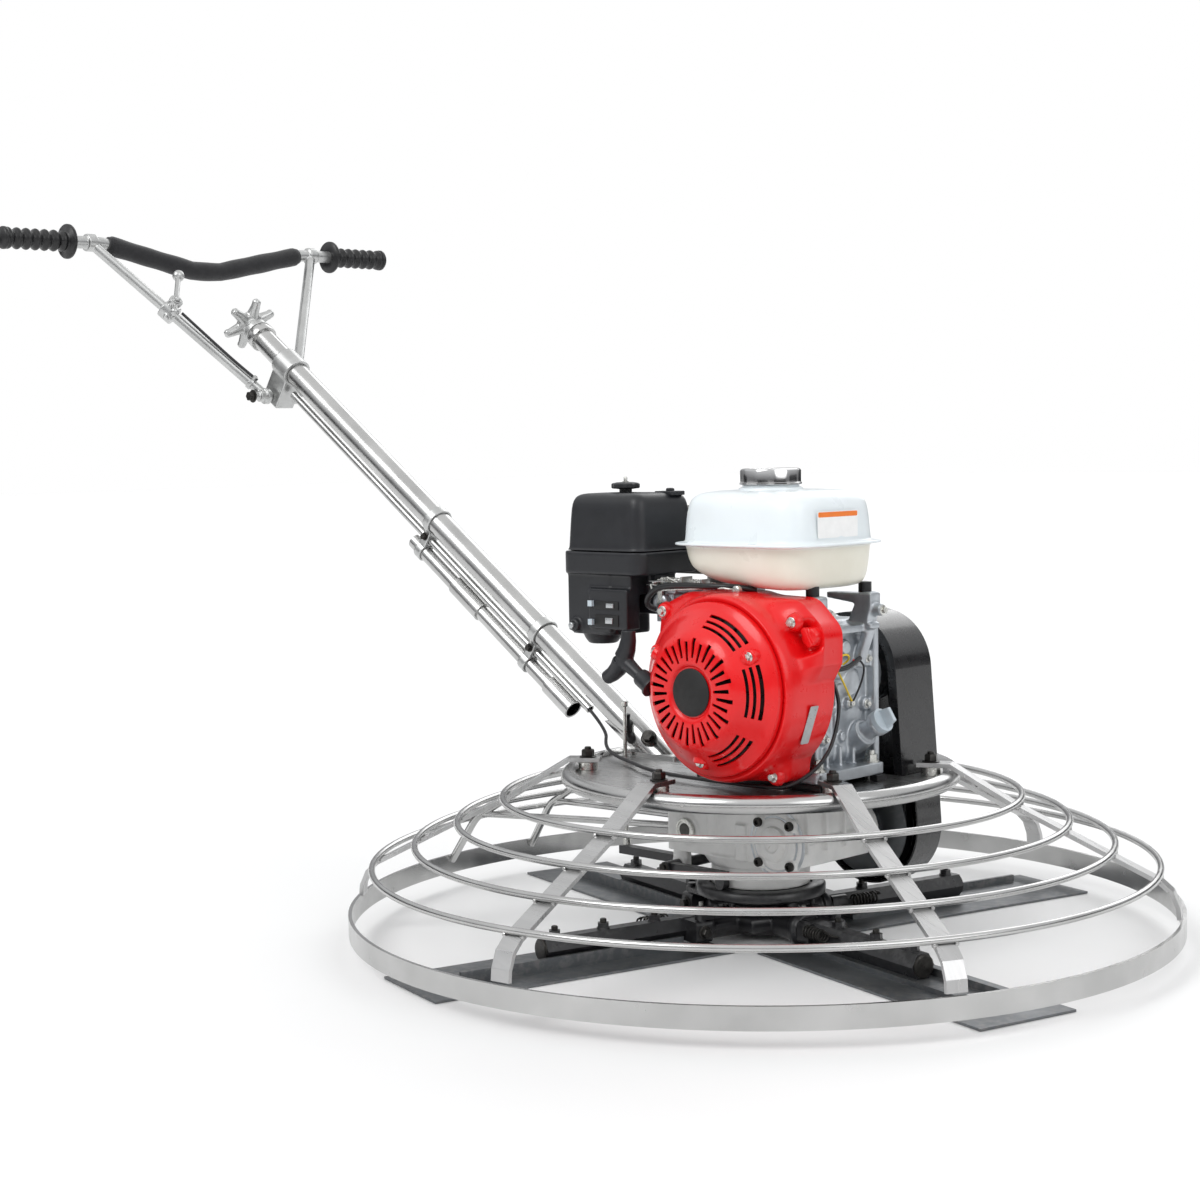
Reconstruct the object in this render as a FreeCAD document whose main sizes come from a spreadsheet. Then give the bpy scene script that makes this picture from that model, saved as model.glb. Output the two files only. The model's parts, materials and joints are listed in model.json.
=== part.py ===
import FreeCAD, Part
import math
import os
import Sketcher

# Walk-behind power trowel with four blades.
# Origin: on the floor under the rotor axis. +Z up, +X away from the operator, the handle runs towards -X,
# the belt drive is on the +Y side and the recoil starter on the -Y side. Lengths are millimetres.

doc = FreeCAD.newDocument("PowerTrowel")
sheet = doc.addObject("Spreadsheet::Sheet", "Sizes")

DRIVING_SIZES = [
    # guard
    ("band_radius", 584.0),
    ("band_thick", 5.0),
    ("band_bottom", 24.0),
    ("band_tall", 29.0),
    ("ring_bar", 4.75),
    ("top_ring_radius", 269.0),
    ("top_tube", 12.5),
    ("top_ring_up", 231.0),
    ("deck_top", 236.0),
    ("deck_thick", 6.0),
    ("deck_radius", 256.8),
    ("strap_wide", 28.0),
    ("strap_thick", 6.0),
    ("spacer_tall", 12.0),
    ("strap_bolt_radius", 244.0),
    ("stay_bar", 6.0),
    # blades and rotor
    ("blade_long", 457.0),
    ("blade_wide", 152.0),
    ("blade_thick", 3.0),
    ("blade_inner", 98.0),
    ("bar_wide", 40.0),
    ("bar_thick", 7.0),
    ("arm_up", 26.0),
    ("arm_flats", 32.0),
    ("arm_reach", 358.0),
    ("hub_radius", 52.0),
    ("socket_radius", 21.5),
    ("shaft_radius", 20.0),
    ("collar_radius", 92.0),
    ("collar_bottom", 60.0),
    ("collar_tall", 16.0),
    # gearbox and belt drive
    ("case_back", -109.0),
    ("case_front", 132.0),
    ("case_bottom", 120.0),
    ("worm_across", 100.0),
    ("worm_up", 153.0),
    ("input_radius", 12.5),
    ("belt_plane", 122.0),
    ("guard_near", 78.0),
    ("guard_far", 160.0),
    # engine
    ("crank_across", 100.0),
    ("crank_up", 376.0),
    ("crank_radius", 12.7),
    ("engine_foot", 245.0),
    ("shroud_radius", 125.0),
    ("shroud_near", -200.0),
    ("shroud_far", -108.0),
    ("tank_long", 232.0),
    ("tank_deep", 202.0),
    ("tank_bottom", 502.0),
    ("tank_seam", 562.0),
    ("tank_top", 634.0),
    ("cap_radius", 42.0),
    ("filter_long", 150.0),
    ("filter_deep", 120.0),
    # handle
    ("handle_slope", 34.4),
    ("handle_long", 1218.0),
    ("tube_radius", 20.5),
    ("tube_wall", 3.0),
    ("conduit_radius", 7.0),
    ("conduit_drop", 36.0),
    ("lift_radius", 13.0),
    ("lift_drop", 60.0),
    ("lift_long", 448.0),
    ("bar_half", 409.0),
    ("bar_tube", 11.0),
    ("side_tube", 9.0),
    ("grip_long", 127.0),
    ("grip_radius", 15.5),
    ("guard_disc", 29.75),
    ("foam_radius", 17.0),
    ("bar_dip", 46.0),
]


class Size:
    """A length held by the sheet: its number and the expression that gives it."""

    def __init__(self, number, text):
        self.number = number
        self.text = text

    def __float__(self):
        return self.number

    def __add__(self, other):
        return combined(self, "+", other, self.number + float(other))

    def __radd__(self, other):
        return combined(other, "+", self, float(other) + self.number)

    def __sub__(self, other):
        return combined(self, "-", other, self.number - float(other))

    def __rsub__(self, other):
        return combined(other, "-", self, float(other) - self.number)

    def __mul__(self, other):
        return combined(self, "*", other, self.number * float(other))

    def __rmul__(self, other):
        return combined(other, "*", self, float(other) * self.number)

    def __truediv__(self, other):
        return combined(self, "/", other, self.number / float(other))

    def __neg__(self):
        return combined(0.0, "-", self, -self.number)


def expression(item):
    if isinstance(item, Size):
        return item.text
    return "(%.6f)" % float(item)


def combined(left, sign, right, number):
    return Size(number, "(" + expression(left) + " " + sign + " " + expression(right) + ")")


def fill_sheet():
    sizes = {}
    for row, (alias, number) in enumerate(DRIVING_SIZES, start=1):
        sheet.set("A%d" % row, alias)
        sheet.set("B%d" % row, str(number))
        sheet.setAlias("B%d" % row, alias)
        sizes[alias] = Size(number, "Sizes." + alias)
    doc.recompute()
    return sizes


SIZE = fill_sheet()
NODES = []

TURN = {
    "X": FreeCAD.Rotation(FreeCAD.Vector(0, 1, 0), 90),
    "Y": FreeCAD.Rotation(FreeCAD.Vector(1, 0, 0), -90),
    "Z": FreeCAD.Rotation(),
}


def vector(point):
    return FreeCAD.Vector(float(point[0]), float(point[1]), float(point[2]))


def direction(axis):
    """A rotation that takes +Z to a named or given axis."""
    if isinstance(axis, str):
        return TURN[axis]
    return FreeCAD.Rotation(FreeCAD.Vector(0, 0, 1), FreeCAD.Vector(*axis))


def place(item, at, turn=TURN["Z"]):
    item.Placement = FreeCAD.Placement(vector(at), turn)
    for letter, size in zip("xyz", at):
        if isinstance(size, Size):
            item.setExpression("Placement.Base." + letter, size.text)
    return item


def set_size(item, name, size):
    setattr(item, name, float(size))
    if isinstance(size, Size):
        item.setExpression(name, size.text)


def cylinder(radius, length, at, axis="Z"):
    item = doc.addObject("Part::Cylinder", "Cylinder")
    set_size(item, "Radius", radius)
    set_size(item, "Height", length)
    return place(item, at, direction(axis))


def cone(radius, end_radius, length, at, axis="Z"):
    item = doc.addObject("Part::Cone", "Cone")
    set_size(item, "Radius1", radius)
    set_size(item, "Radius2", end_radius)
    set_size(item, "Height", length)
    return place(item, at, direction(axis))


def block(low, high, turn=TURN["Z"]):
    """A box between two corners, turned about its low corner."""
    item = doc.addObject("Part::Box", "Box")
    for name, start, end in zip(("Length", "Width", "Height"), low, high):
        set_size(item, name, end - start)
    return place(item, low, turn)


def ring(radius, bar, at):
    item = doc.addObject("Part::Torus", "Torus")
    set_size(item, "Radius1", radius)
    set_size(item, "Radius2", bar)
    return place(item, at)


def prism(sides, radius, length, at, turn):
    item = doc.addObject("Part::Prism", "Prism")
    item.Polygon = sides
    set_size(item, "Circumradius", radius)
    set_size(item, "Height", length)
    return place(item, at, turn)


def joined(*items):
    if len(items) == 1:
        return items[0]
    fuse = doc.addObject("Part::MultiFuse", "Joined")
    fuse.Shapes = list(items)
    return fuse


def cut(base, *tools):
    item = doc.addObject("Part::Cut", "Cut")
    item.Base = base
    item.Tool = joined(*tools)
    return item


def rounded(item, radius, chosen):
    """Fillets the edges for which chosen(edge) is true."""
    doc.recompute()
    edges = []
    for number, edge in enumerate(item.Shape.Edges, start=1):
        if chosen(edge):
            edges.append((number, radius, radius))
    fillet = doc.addObject("Part::Fillet", "Rounded")
    fillet.Base = item
    fillet.Edges = edges
    return fillet


def along(axis):
    """Picks straight edges that lie along a row axis."""
    index = "XYZ".index(axis)

    def chosen(edge):
        if not isinstance(edge.Curve, Part.Line):
            return False
        way = edge.Curve.Direction
        return abs((way.x, way.y, way.z)[index]) > 0.999
    return chosen


def at_level(level):
    """Picks edges that lie wholly at one height."""
    def chosen(edge):
        box = edge.BoundBox
        return abs(box.ZMin - level) < 0.01 and abs(box.ZMax - level) < 0.01
    return chosen


def node(name, item):
    item.Label = name
    NODES.append(item)
    return item


def shape_node(name, shape):
    """A node whose shape is made directly from curves and sweeps."""
    item = doc.addObject("Part::Feature", name)
    item.Shape = shape
    return node(name, item)


def sketch_in(body, role, outline, circles=()):
    """A closed polygon, with round holes, fixed point by point to sheet sizes."""
    plane = [item for item in body.Origin.OriginFeatures if item.Role == role][0]
    sketch = body.newObject("Sketcher::SketchObject", "Outline")
    sketch.AttachmentSupport = [(plane, "")]
    sketch.MapMode = "FlatFace"
    count = len(outline)
    for index in range(count):
        start = FreeCAD.Vector(float(outline[index][0]), float(outline[index][1]), 0)
        follow = outline[(index + 1) % count]
        end = FreeCAD.Vector(float(follow[0]), float(follow[1]), 0)
        sketch.addGeometry(Part.LineSegment(start, end), False)
    for index in range(count):
        sketch.addConstraint(Sketcher.Constraint("Coincident", index, 2, (index + 1) % count, 1))
    for index, point in enumerate(outline):
        fix_point(sketch, index, 1, point)
    for across, up, radius in circles:
        middle = FreeCAD.Vector(float(across), float(up), 0)
        number = sketch.addGeometry(Part.Circle(middle, FreeCAD.Vector(0, 0, 1), float(radius)), False)
        fix_point(sketch, number, 3, (across, up))
        bind_constraint(sketch, Sketcher.Constraint("Radius", number, float(radius)), radius)
    return sketch


def fix_point(sketch, geometry, end, point):
    for kind, size in zip(("DistanceX", "DistanceY"), point):
        constraint = Sketcher.Constraint(kind, -1, 1, geometry, end, float(size))
        bind_constraint(sketch, constraint, size)


def bind_constraint(sketch, constraint, size):
    number = sketch.addConstraint(constraint)
    if isinstance(size, Size):
        sketch.setExpression("Constraints[%d]" % number, size.text)


def padded(role, outline, thickness, at=(0, 0, 0), turn=TURN["Z"], circles=(), centred=False):
    """A plate: an outline on one origin plane, padded along its normal."""
    body = doc.addObject("PartDesign::Body", "Plate")
    sketch = sketch_in(body, role, outline, circles)
    pad = body.newObject("PartDesign::Pad", "Pad")
    pad.Profile = sketch
    set_size(pad, "Length", thickness)
    if centred:
        pad.SideType = "Symmetric"
    body.Tip = pad
    return place(body, at, turn)


def turned(outline, at=(0, 0, 0), turn=TURN["Z"]):
    """A round piece: an outline of (radius, height) points revolved about the body's Z axis."""
    body = doc.addObject("PartDesign::Body", "Turned")
    sketch = sketch_in(body, "XZ_Plane", outline)
    revolution = body.newObject("PartDesign::Revolution", "Revolution")
    revolution.Profile = sketch
    revolution.ReferenceAxis = (sketch, ["V_Axis"])
    revolution.Angle = 360.0
    body.Tip = revolution
    return place(body, at, turn)


def bent_path(points, radii):
    """Straight runs joined by tangent arcs; radii has one entry per inner point."""
    corners = [vector(point) for point in points]
    edges = []
    start = corners[0]
    for index in range(1, len(corners) - 1):
        corner = corners[index]
        back = (corners[index - 1] - corner).normalize()
        ahead = (corners[index + 1] - corner).normalize()
        half = back.getAngle(ahead) / 2
        reach = radii[index - 1] / math.tan(half)
        first = corner + back * reach
        last = corner + ahead * reach
        centre = corner + (back + ahead).normalize() * (radii[index - 1] / math.sin(half))
        middle = centre + (corner - centre).normalize() * radii[index - 1]
        edges.append(Part.LineSegment(start, first).toShape())
        edges.append(Part.Arc(first, middle, last).toShape())
        start = last
    edges.append(Part.LineSegment(start, corners[-1]).toShape())
    return Part.Wire(edges)


def tube_shape(path, radius, bore=0.0):
    """A round bar, or a tube, swept along a path."""
    start = path.Edges[0].valueAt(path.Edges[0].FirstParameter)
    way = path.Edges[0].tangentAt(path.Edges[0].FirstParameter)
    solids = []
    for size in (radius, bore):
        if size:
            circle = Part.Wire(Part.makeCircle(size, start, way))
            solids.append(path.makePipeShell([circle], True, False))
    if len(solids) == 2:
        return solids[0].cut(solids[1])
    return solids[0]


def free_radii(points):
    """Arc radii as large as the runs beside each inner point allow."""
    corners = [vector(point) for point in points]
    radii = []
    for index in range(1, len(corners) - 1):
        back = corners[index - 1] - corners[index]
        ahead = corners[index + 1] - corners[index]
        half_turn = (math.pi - back.getAngle(ahead)) / 2
        radii.append(0.45 * min(back.Length, ahead.Length) / math.tan(half_turn))
    return radii


def cable_shape(name, points, radius):
    radii = free_radii(points)
    path = bent_path(points, radii)
    shape = tube_shape(path, radius)
    expected = math.pi * radius ** 2 * path.Length
    print(name, "length %.0f" % path.Length, "volume ratio %.4f" % (shape.Volume / expected),
          "radii", [round(value) for value in radii])
    return shape


def turned_copies(shape, angles):
    """Copies of a shape turned about the rotor axis."""
    copies = []
    for angle in angles:
        copy = shape.copy()
        copy.rotate(FreeCAD.Vector(0, 0, 0), FreeCAD.Vector(0, 0, 1), angle)
        copies.append(copy)
    return copies


def around(angle, radius, up):
    return (radius * math.cos(math.radians(angle)), radius * math.sin(math.radians(angle)), up)


def made(item):
    """The finished shape of an object that other code needs at once."""
    doc.recompute()
    return item.Shape


# ---------------------------------------------------------------- guard

STRAP_ANGLES = (26, 82, 140.5, -26, -82, -140.5)
FOOT_BOLTS = ((4, -92), (182, -92), (4, 22), (182, 22))
GUARD_RINGS = ((364.6, 204.2), (429.2, 171.6), (489.9, 141.9), (550.0, 112.2))


def build_guard():
    radius = SIZE["band_radius"]
    bottom = SIZE["band_bottom"]
    tall = SIZE["band_tall"]
    outer = cylinder(radius, tall, (0, 0, bottom))
    inner = cylinder(radius - SIZE["band_thick"], tall + 2, (0, 0, bottom - 1))
    node("outer_band", cut(outer, inner))
    for number, (ring_radius, up) in enumerate(GUARD_RINGS, start=1):
        node("guard_ring_%d" % number, ring(ring_radius, SIZE["ring_bar"], (0, 0, up)))
    node("top_ring", ring(SIZE["top_ring_radius"], SIZE["top_tube"], (0, 0, SIZE["top_ring_up"])))


def build_deck():
    """The round deck plate with its belt slot, pitch-rod hole and bolt holes."""
    bottom = SIZE["deck_top"] - SIZE["deck_thick"]
    plate = cylinder(SIZE["deck_radius"], SIZE["deck_thick"], (0, 0, bottom))
    slot = block((16, SIZE["guard_near"] - 4, bottom - 1), (195.5, SIZE["guard_far"] + 3, bottom + 9))
    rod_hole = cylinder(6, 10, (-235, -32, bottom - 1))
    tools = [slot, rod_hole]
    for x, y in FOOT_BOLTS:
        tools.append(cylinder(5.2, 10, (x, y, bottom - 1)))
    for angle in STRAP_ANGLES:
        tools.append(cylinder(6.2, 10, around(angle, float(SIZE["strap_bolt_radius"]), bottom - 1)))
    node("deck_plate", cut(plate, *tools))


def strap_outline():
    """The side view of one guard strap: a bent flat bar, given by its middle line."""
    level = float(SIZE["deck_top"] + SIZE["spacer_tall"] + SIZE["strap_thick"] / 2)
    line = [(226, level), (271, level), (364.6, 195.4), (489.9, 133.4), (551, 103.2), (566, 90), (574.5, 70)]
    line.append((576, 55))
    half = float(SIZE["strap_thick"]) / 2
    upper = []
    lower = []
    for index, (across, up) in enumerate(line):
        before = line[max(index - 1, 0)]
        after = line[min(index + 1, len(line) - 1)]
        run = math.hypot(after[0] - before[0], after[1] - before[1])
        normal = (-(after[1] - before[1]) / run, (after[0] - before[0]) / run)
        upper.append((across + normal[0] * half, up + normal[1] * half))
        lower.append((across - normal[0] * half, up - normal[1] * half))
    return upper + lower[::-1]


def build_straps():
    plate = padded("XZ_Plane", strap_outline(), SIZE["strap_wide"], centred=True)
    bolt_radius = float(SIZE["strap_bolt_radius"])
    hole = cylinder(6.2, 40, (bolt_radius, 0, SIZE["deck_top"]))
    strap = made(cut(plate, hole))
    shape_node("guard_straps", Part.Compound(turned_copies(strap, STRAP_ANGLES)))

    spacer_top = SIZE["deck_top"] + SIZE["spacer_tall"]
    spacer = made(cut(cylinder(14, SIZE["spacer_tall"], (bolt_radius, 0, SIZE["deck_top"])),
                      cylinder(6.2, 40, (bolt_radius, 0, SIZE["deck_top"] - 10))))
    strap_top = spacer_top + SIZE["strap_thick"]
    bolt = made(joined(
        cylinder(6, 36, (bolt_radius, 0, SIZE["deck_top"] - 14)),
        cylinder(13, 2.5, (bolt_radius, 0, strap_top)),
        prism(6, 10.5, 8, (bolt_radius, 0, strap_top + 2.5), TURN["Z"]),
        prism(6, 10.5, 8, (bolt_radius, 0, SIZE["deck_top"] - SIZE["deck_thick"] - 8), TURN["Z"]),
    ))
    pieces = turned_copies(spacer, STRAP_ANGLES) + turned_copies(bolt, STRAP_ANGLES)
    shape_node("strap_bolts", Part.Compound(pieces))


def build_stays():
    """Two round bars behind the handle, from the top ring down to the band, each braced to the gearbox."""
    bar = float(SIZE["stay_bar"])
    pieces = []
    for side in (1, -1):
        points = [(-262, side * 60, 226), (-380, side * 68, 195), (-520, side * 80, 118),
                  (-573, side * 86, 44)]
        stay = tube_shape(bent_path(points, [60, 60]), bar)
        brace = tube_shape(bent_path([(-110.5, side * 30, 145), (-300, side * 53, 136),
                                      (-505, side * 79, 125)], [400]), bar - 1)
        pieces.append(stay.fuse(brace))
    shape_node("rear_stays", Part.Compound(pieces))


# ---------------------------------------------------------------- gearbox and belt drive

YOKE_UP = 96


def build_gearbox():
    """A cast case with a stepped lower boss, two ears for the yoke, side ribs and real bores inside."""
    back = SIZE["case_back"]
    front = SIZE["case_front"]
    bottom = SIZE["case_bottom"]
    worm_across = SIZE["worm_across"]
    worm_up = SIZE["worm_up"]
    deck_bottom = SIZE["deck_top"] - SIZE["deck_thick"]
    main = rounded(block((back, -80, bottom), (front, 84, 222)), 9, along("Z"))
    flange = rounded(block((back - 14, -94, 220), (front + 16, 72, deck_bottom)), 14, along("Z"))
    boss = cylinder(70, 48, (0, 0, 76))
    waist = cone(74, 86, 18, (0, 0, 106))
    bearing_boss = cylinder(40, 12, (worm_across, 80, worm_up), "Y")
    ribs = [block((x, 70, 150), (x + 6, 90, 215)) for x in (-70, -30, 10)]
    ears = []
    for side in (-1, 1):
        ear = rounded(block((-114, side * 56 - 5, 84), (-86, side * 56 + 5, 124)), 12, along("Y"))
        ears.append(ear)
    outside = joined(main, flange, boss, waist, bearing_boss, *(ribs + ears))
    hollow = [
        cylinder(75, 38, (0, 0, 134)),
        cylinder(31, 126, (worm_across, -62, worm_up), "Y"),
        cylinder(SIZE["shaft_radius"] + 0.05, 120, (0, 0, 60)),
        cylinder(SIZE["input_radius"] + 0.05, 60, (worm_across, 50, worm_up), "Y"),
        cylinder(25, 30, (worm_across, -85, worm_up), "Y"),
        cylinder(8.05, 140, (-100, -70, YOKE_UP), "Y"),
    ]
    node("gearbox_case", cut(outside, *hollow))

    cover = turned([(0, 0), (35, 0), (35, 6), (22, 8), (22, 13), (0, 13)],
                   (worm_across, -80, worm_up), FreeCAD.Rotation(FreeCAD.Vector(1, 0, 0), 90))
    node("bearing_cover", cover)


def stadium(low_centre, low_radius, high_centre, high_radius, near, far):
    """The solid hull of two round ends that lie in an XZ plane, from near to far along Y."""
    length = far - near
    low = Part.makeCylinder(low_radius, length, FreeCAD.Vector(low_centre[0], near, low_centre[1]),
                            FreeCAD.Vector(0, 1, 0))
    high = Part.makeCylinder(high_radius, length, FreeCAD.Vector(high_centre[0], near, high_centre[1]),
                             FreeCAD.Vector(0, 1, 0))
    across = high_centre[0] - low_centre[0]
    up = high_centre[1] - low_centre[1]
    apart = math.hypot(across, up)
    lean = math.atan2(up, across)
    spread = math.acos((low_radius - high_radius) / apart)
    corners = []
    for sign in (1, -1):
        angle = lean + sign * spread
        way = FreeCAD.Vector(math.cos(angle), 0, math.sin(angle))
        low_point = FreeCAD.Vector(low_centre[0], near, low_centre[1]) + way * low_radius
        high_point = FreeCAD.Vector(high_centre[0], near, high_centre[1]) + way * high_radius
        corners.append((low_point, high_point))
    outline = [corners[0][0], corners[0][1], corners[1][1], corners[1][0], corners[0][0]]
    middle = Part.Face(Part.makePolygon(outline)).extrude(FreeCAD.Vector(0, length, 0))
    return middle.fuse([low, high]).removeSplitter()


def build_belt_drive():
    crank = (float(SIZE["crank_across"]), float(SIZE["crank_up"]))
    worm = (float(SIZE["worm_across"]), float(SIZE["worm_up"]))
    housing = (worm[0] + 10, worm[1] + 6)
    near = float(SIZE["guard_near"])
    far = float(SIZE["guard_far"])
    outer = stadium(housing, 88, crank, 82, near, far)
    inner = stadium(housing, 85.5, crank, 79.5, near - 1, far - 2.5)
    lip = stadium(housing, 74, crank, 68, near - 2, near + 4)
    below = Part.makeBox(240, 30, 200, FreeCAD.Vector(0, near - 3, 24))
    shell = outer.cut(inner).fuse(stadium(housing, 86, crank, 80, near, near + 2.5).cut(lip)).cut(below)
    shape_node("belt_guard", shell)

    plane = float(SIZE["belt_plane"])
    belt = stadium(worm, 72.3, crank, 44.3, plane - 6, plane + 6)
    belt = belt.cut(stadium(worm, 62.3, crank, 34.3, plane - 7, plane + 7))
    shape_node("drive_belt", belt)

    drum = turned([(12.75, -14), (46, -14), (46, -8), (34, -7), (34, 7), (46, 8), (46, 12), (12.75, 12)],
                  (SIZE["crank_across"], SIZE["belt_plane"], SIZE["crank_up"]), TURN["Y"])
    node("clutch_pulley", drum)

    at_worm = (SIZE["worm_across"], SIZE["belt_plane"], SIZE["worm_up"])
    pulley = turned([(11, -14), (28, -14), (28, -9), (72, -9), (72, -7), (62, -6.5), (62, 6.5), (72, 7),
                     (72, 9), (28, 9), (28, 16), (11, 16)], at_worm, TURN["Y"])
    shaft = turned([(0, 0), (SIZE["input_radius"], 0), (SIZE["input_radius"], 16), (28, 16), (28, 106),
                    (SIZE["input_radius"], 106), (SIZE["input_radius"], 206), (0, 206)],
                   (SIZE["worm_across"], -62, SIZE["worm_up"]), TURN["Y"])
    node("input_shaft", joined(pulley, shaft))


def build_rotor():
    shaft_radius = SIZE["shaft_radius"]
    shaft = turned([(0, 12), (shaft_radius - 4, 12), (shaft_radius - 4, 50), (shaft_radius, 50),
                    (shaft_radius, 137), (71, 137), (71, 169), (shaft_radius, 169), (shaft_radius, 178),
                    (0, 178)])
    node("rotor_shaft", shaft)

    hub = cylinder(SIZE["hub_radius"], 42, (0, 0, 8))
    sockets = []
    bores = [cylinder(shaft_radius - 4, 50, (0, 0, 4))]
    for angle in BLADE_ANGLES:
        way = around(angle, 1.0, 0.0)
        sockets.append(cylinder(SIZE["socket_radius"], 82, around(angle, 30.0, SIZE["arm_up"]), way))
        bores.append(cylinder(13.05, 80, around(angle, 36.0, SIZE["arm_up"]), way))
    spider = cut(joined(hub, *sockets), *bores)
    for step in (spider.Base, spider.Tool, spider):
        step.Refine = False
    node("rotor_hub", spider)


BLADE_ANGLES = (-14.0, 76.0, 166.0, -104.0)
ARM_BOLTS = (180.0, 262.0, 338.0)


def build_blades():
    """Each arm is a hexagonal bar with a round journal and a lift finger; each blade has a mounting bar."""
    up = SIZE["arm_up"]
    journal = cylinder(13, 76, (38, 0, up), "X")
    hexagon = FreeCAD.Rotation(FreeCAD.Vector(0, 1, 0), 90).multiply(
        FreeCAD.Rotation(FreeCAD.Vector(0, 0, 1), 30))
    bar = prism(6, SIZE["arm_flats"] / 1.7320508, SIZE["arm_reach"] - 112.5, (112.5, 0, up), hexagon)
    clamp = rounded(block((113, -20, 11), (139, 44, 41)), 6, along("X"))
    finger = cylinder(6.5, 23, (126, 35, 32.5))
    reach = rounded(block((66, 28, 42.5), (134, 42, 50)), 5, along("Z"))
    tip = cylinder(3.5, 10, (74, 35, 49.7))
    arm = made(joined(journal, bar, clamp, finger, reach, tip))

    half = SIZE["blade_wide"] / 2
    inner = SIZE["blade_inner"]
    outer = inner + SIZE["blade_long"]
    holes = [(across, 0, 5) for across in ARM_BOLTS]
    plate = padded("XY_Plane", [(inner, -half), (outer, -half), (outer, half), (inner, half)],
                   SIZE["blade_thick"], circles=holes)
    thick = SIZE["blade_thick"]
    bar_half = SIZE["bar_wide"] / 2
    channel = block((148, -bar_half, thick), (492, bar_half, thick + SIZE["bar_thick"]))
    lip = block((148, bar_half, thick), (492, bar_half + 5, thick + 17))
    mount = cut(joined(plate, channel, lip), *[cylinder(5, 30, (x, 0, -5)) for x in ARM_BOLTS])
    blade = made(mount)

    bolts = []
    holes = []
    for across in ARM_BOLTS:
        bolts.append(cylinder(4.9, 45, (across, 0, 3)))
        bolts.append(cylinder(9, 2, (across, 0, float(up) + 16)))
        bolts.append(prism(6, 8.5, 6.5, (across, 0, float(up) + 18), TURN["Z"]))
    for number, angle in enumerate(BLADE_ANGLES, start=1):
        place_arm = turned_copies(arm, [angle])[0]
        place_bolts = turned_copies(made(joined(*bolts)), [angle])[0]
        shape_node("blade_arm_%d" % number, place_arm.fuse(place_bolts))
        shape_node("blade_%d" % number, turned_copies(blade, [angle])[0])


def build_pitch_gear():
    bottom = SIZE["collar_bottom"]
    radius = SIZE["collar_radius"]
    tall = SIZE["collar_tall"]
    collar = turned([(20.2, bottom + 6), (60, bottom + 6), (60, bottom), (radius, bottom),
                     (radius, bottom + tall - 3), (radius - 3, bottom + tall), (73, bottom + tall),
                     (73, bottom + 12), (20.2, bottom + 12)])
    node("thrust_collar", collar)

    pivot = cylinder(8, 186, (-100, -93, YOKE_UP), "Y")
    prongs = []
    for side in (-1, 1):
        prongs.append(block((-106, side * 82 - 6, YOKE_UP - 6), (4, side * 82 + 6, YOKE_UP + 6)))
        prongs.append(cylinder(8, 12, (0, side * 82 - 6, YOKE_UP - 11.7), "Y"))
        prongs.append(block((-8, side * 82 - 6, YOKE_UP - 11.7), (8, side * 82 + 6, YOKE_UP + 6)))
    tail = block((-244, -40, YOKE_UP - 6), (-100, -24, YOKE_UP + 6))
    node("pitch_yoke", joined(pivot, tail, *prongs))

    rod = turned([(0, 0), (6, 0), (6, 8), (3, 12), (3, 206), (5.5, 208), (5.5, 214), (0, 214)],
                 (-235, -32, YOKE_UP + 7.6))
    node("pitch_rod", rod)


# ---------------------------------------------------------------- engine

SLANT = 25.0


def build_engine_block():
    across = SIZE["crank_across"]
    up = SIZE["crank_up"]
    foot = SIZE["engine_foot"]
    case = rounded(block((18, -92, foot + 14), (168, 40, 456)), 22, along("Y"))
    base = rounded(block((-10, -106, foot), (196, 36, foot + 16)), 8, along("Z"))
    cover_boss = cone(78, 52, 26, (across, 38, up), "Y")
    neck = cylinder(60, 14, (across, 62, up), "Y")
    barrel_way = (-math.cos(math.radians(SLANT)), 0.0, math.sin(math.radians(SLANT)))
    start = (100 + barrel_way[0] * 40, -26, 376 + barrel_way[2] * 40)
    barrel = cylinder(46, 106, start, barrel_way)
    fins = []
    for step in range(6):
        reach = 84 + step * 11
        at = (100 + barrel_way[0] * reach, -26, 376 + barrel_way[2] * reach)
        fins.append(cylinder(58, 4, at, barrel_way))
    oil_neck = cylinder(13, 64, (152.5, 8, 284.1), (0.85, 0, 0.53))
    brackets = []
    for near, far in ((-104, -84), (6, 28)):
        brackets.append(padded("XZ_Plane", [(150, 440), (186, 440), (196, 476), (196, 492), (120, 492),
                                            (120, 484), (168, 478)], far - near, (0, far, 0)))
    link = block((150, -102, 440), (184, 26, 450))
    outside = joined(case, base, cover_boss, neck, barrel, oil_neck, link, *(fins + brackets))
    hollow = [
        cylinder(56, 96, (across, -76, up), "Y"),
        cylinder(SIZE["crank_radius"] + 0.05, 260, (across, -120, up), "Y"),
    ]
    feet = []
    for x, y in FOOT_BOLTS:
        feet.append(cylinder(5.2, 40, (x, y, foot - 10)))
        feet.append(cylinder(13, 26, (x, y, foot + 16)))
    node("engine_block", cut(outside, *(hollow + feet)))

    turn = FreeCAD.Rotation(FreeCAD.Vector(0, 1, 0), -(90 - SLANT))
    head_at = (100 + barrel_way[0] * 146.2, -26, 376 + barrel_way[2] * 146.2)
    head_core = padded("XY_Plane", [(-50, -54), (50, -54), (50, 54), (-50, 54)], 30, head_at, turn)
    head_fins = []
    for step in range(3):
        reach = 151 + step * 9
        at = (100 + barrel_way[0] * reach, -26, 376 + barrel_way[2] * reach)
        head_fins.append(padded("XY_Plane", [(-57, -60), (57, -60), (57, 60), (-57, 60)], 3, at, turn))
    lid_at = (100 + barrel_way[0] * 175, -26, 376 + barrel_way[2] * 175)
    lid = padded("XY_Plane", [(-40, -44), (40, -44), (40, 44), (-40, 44)], 22, lid_at, turn)
    node("cylinder_head", joined(head_core, lid, *head_fins))


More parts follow.
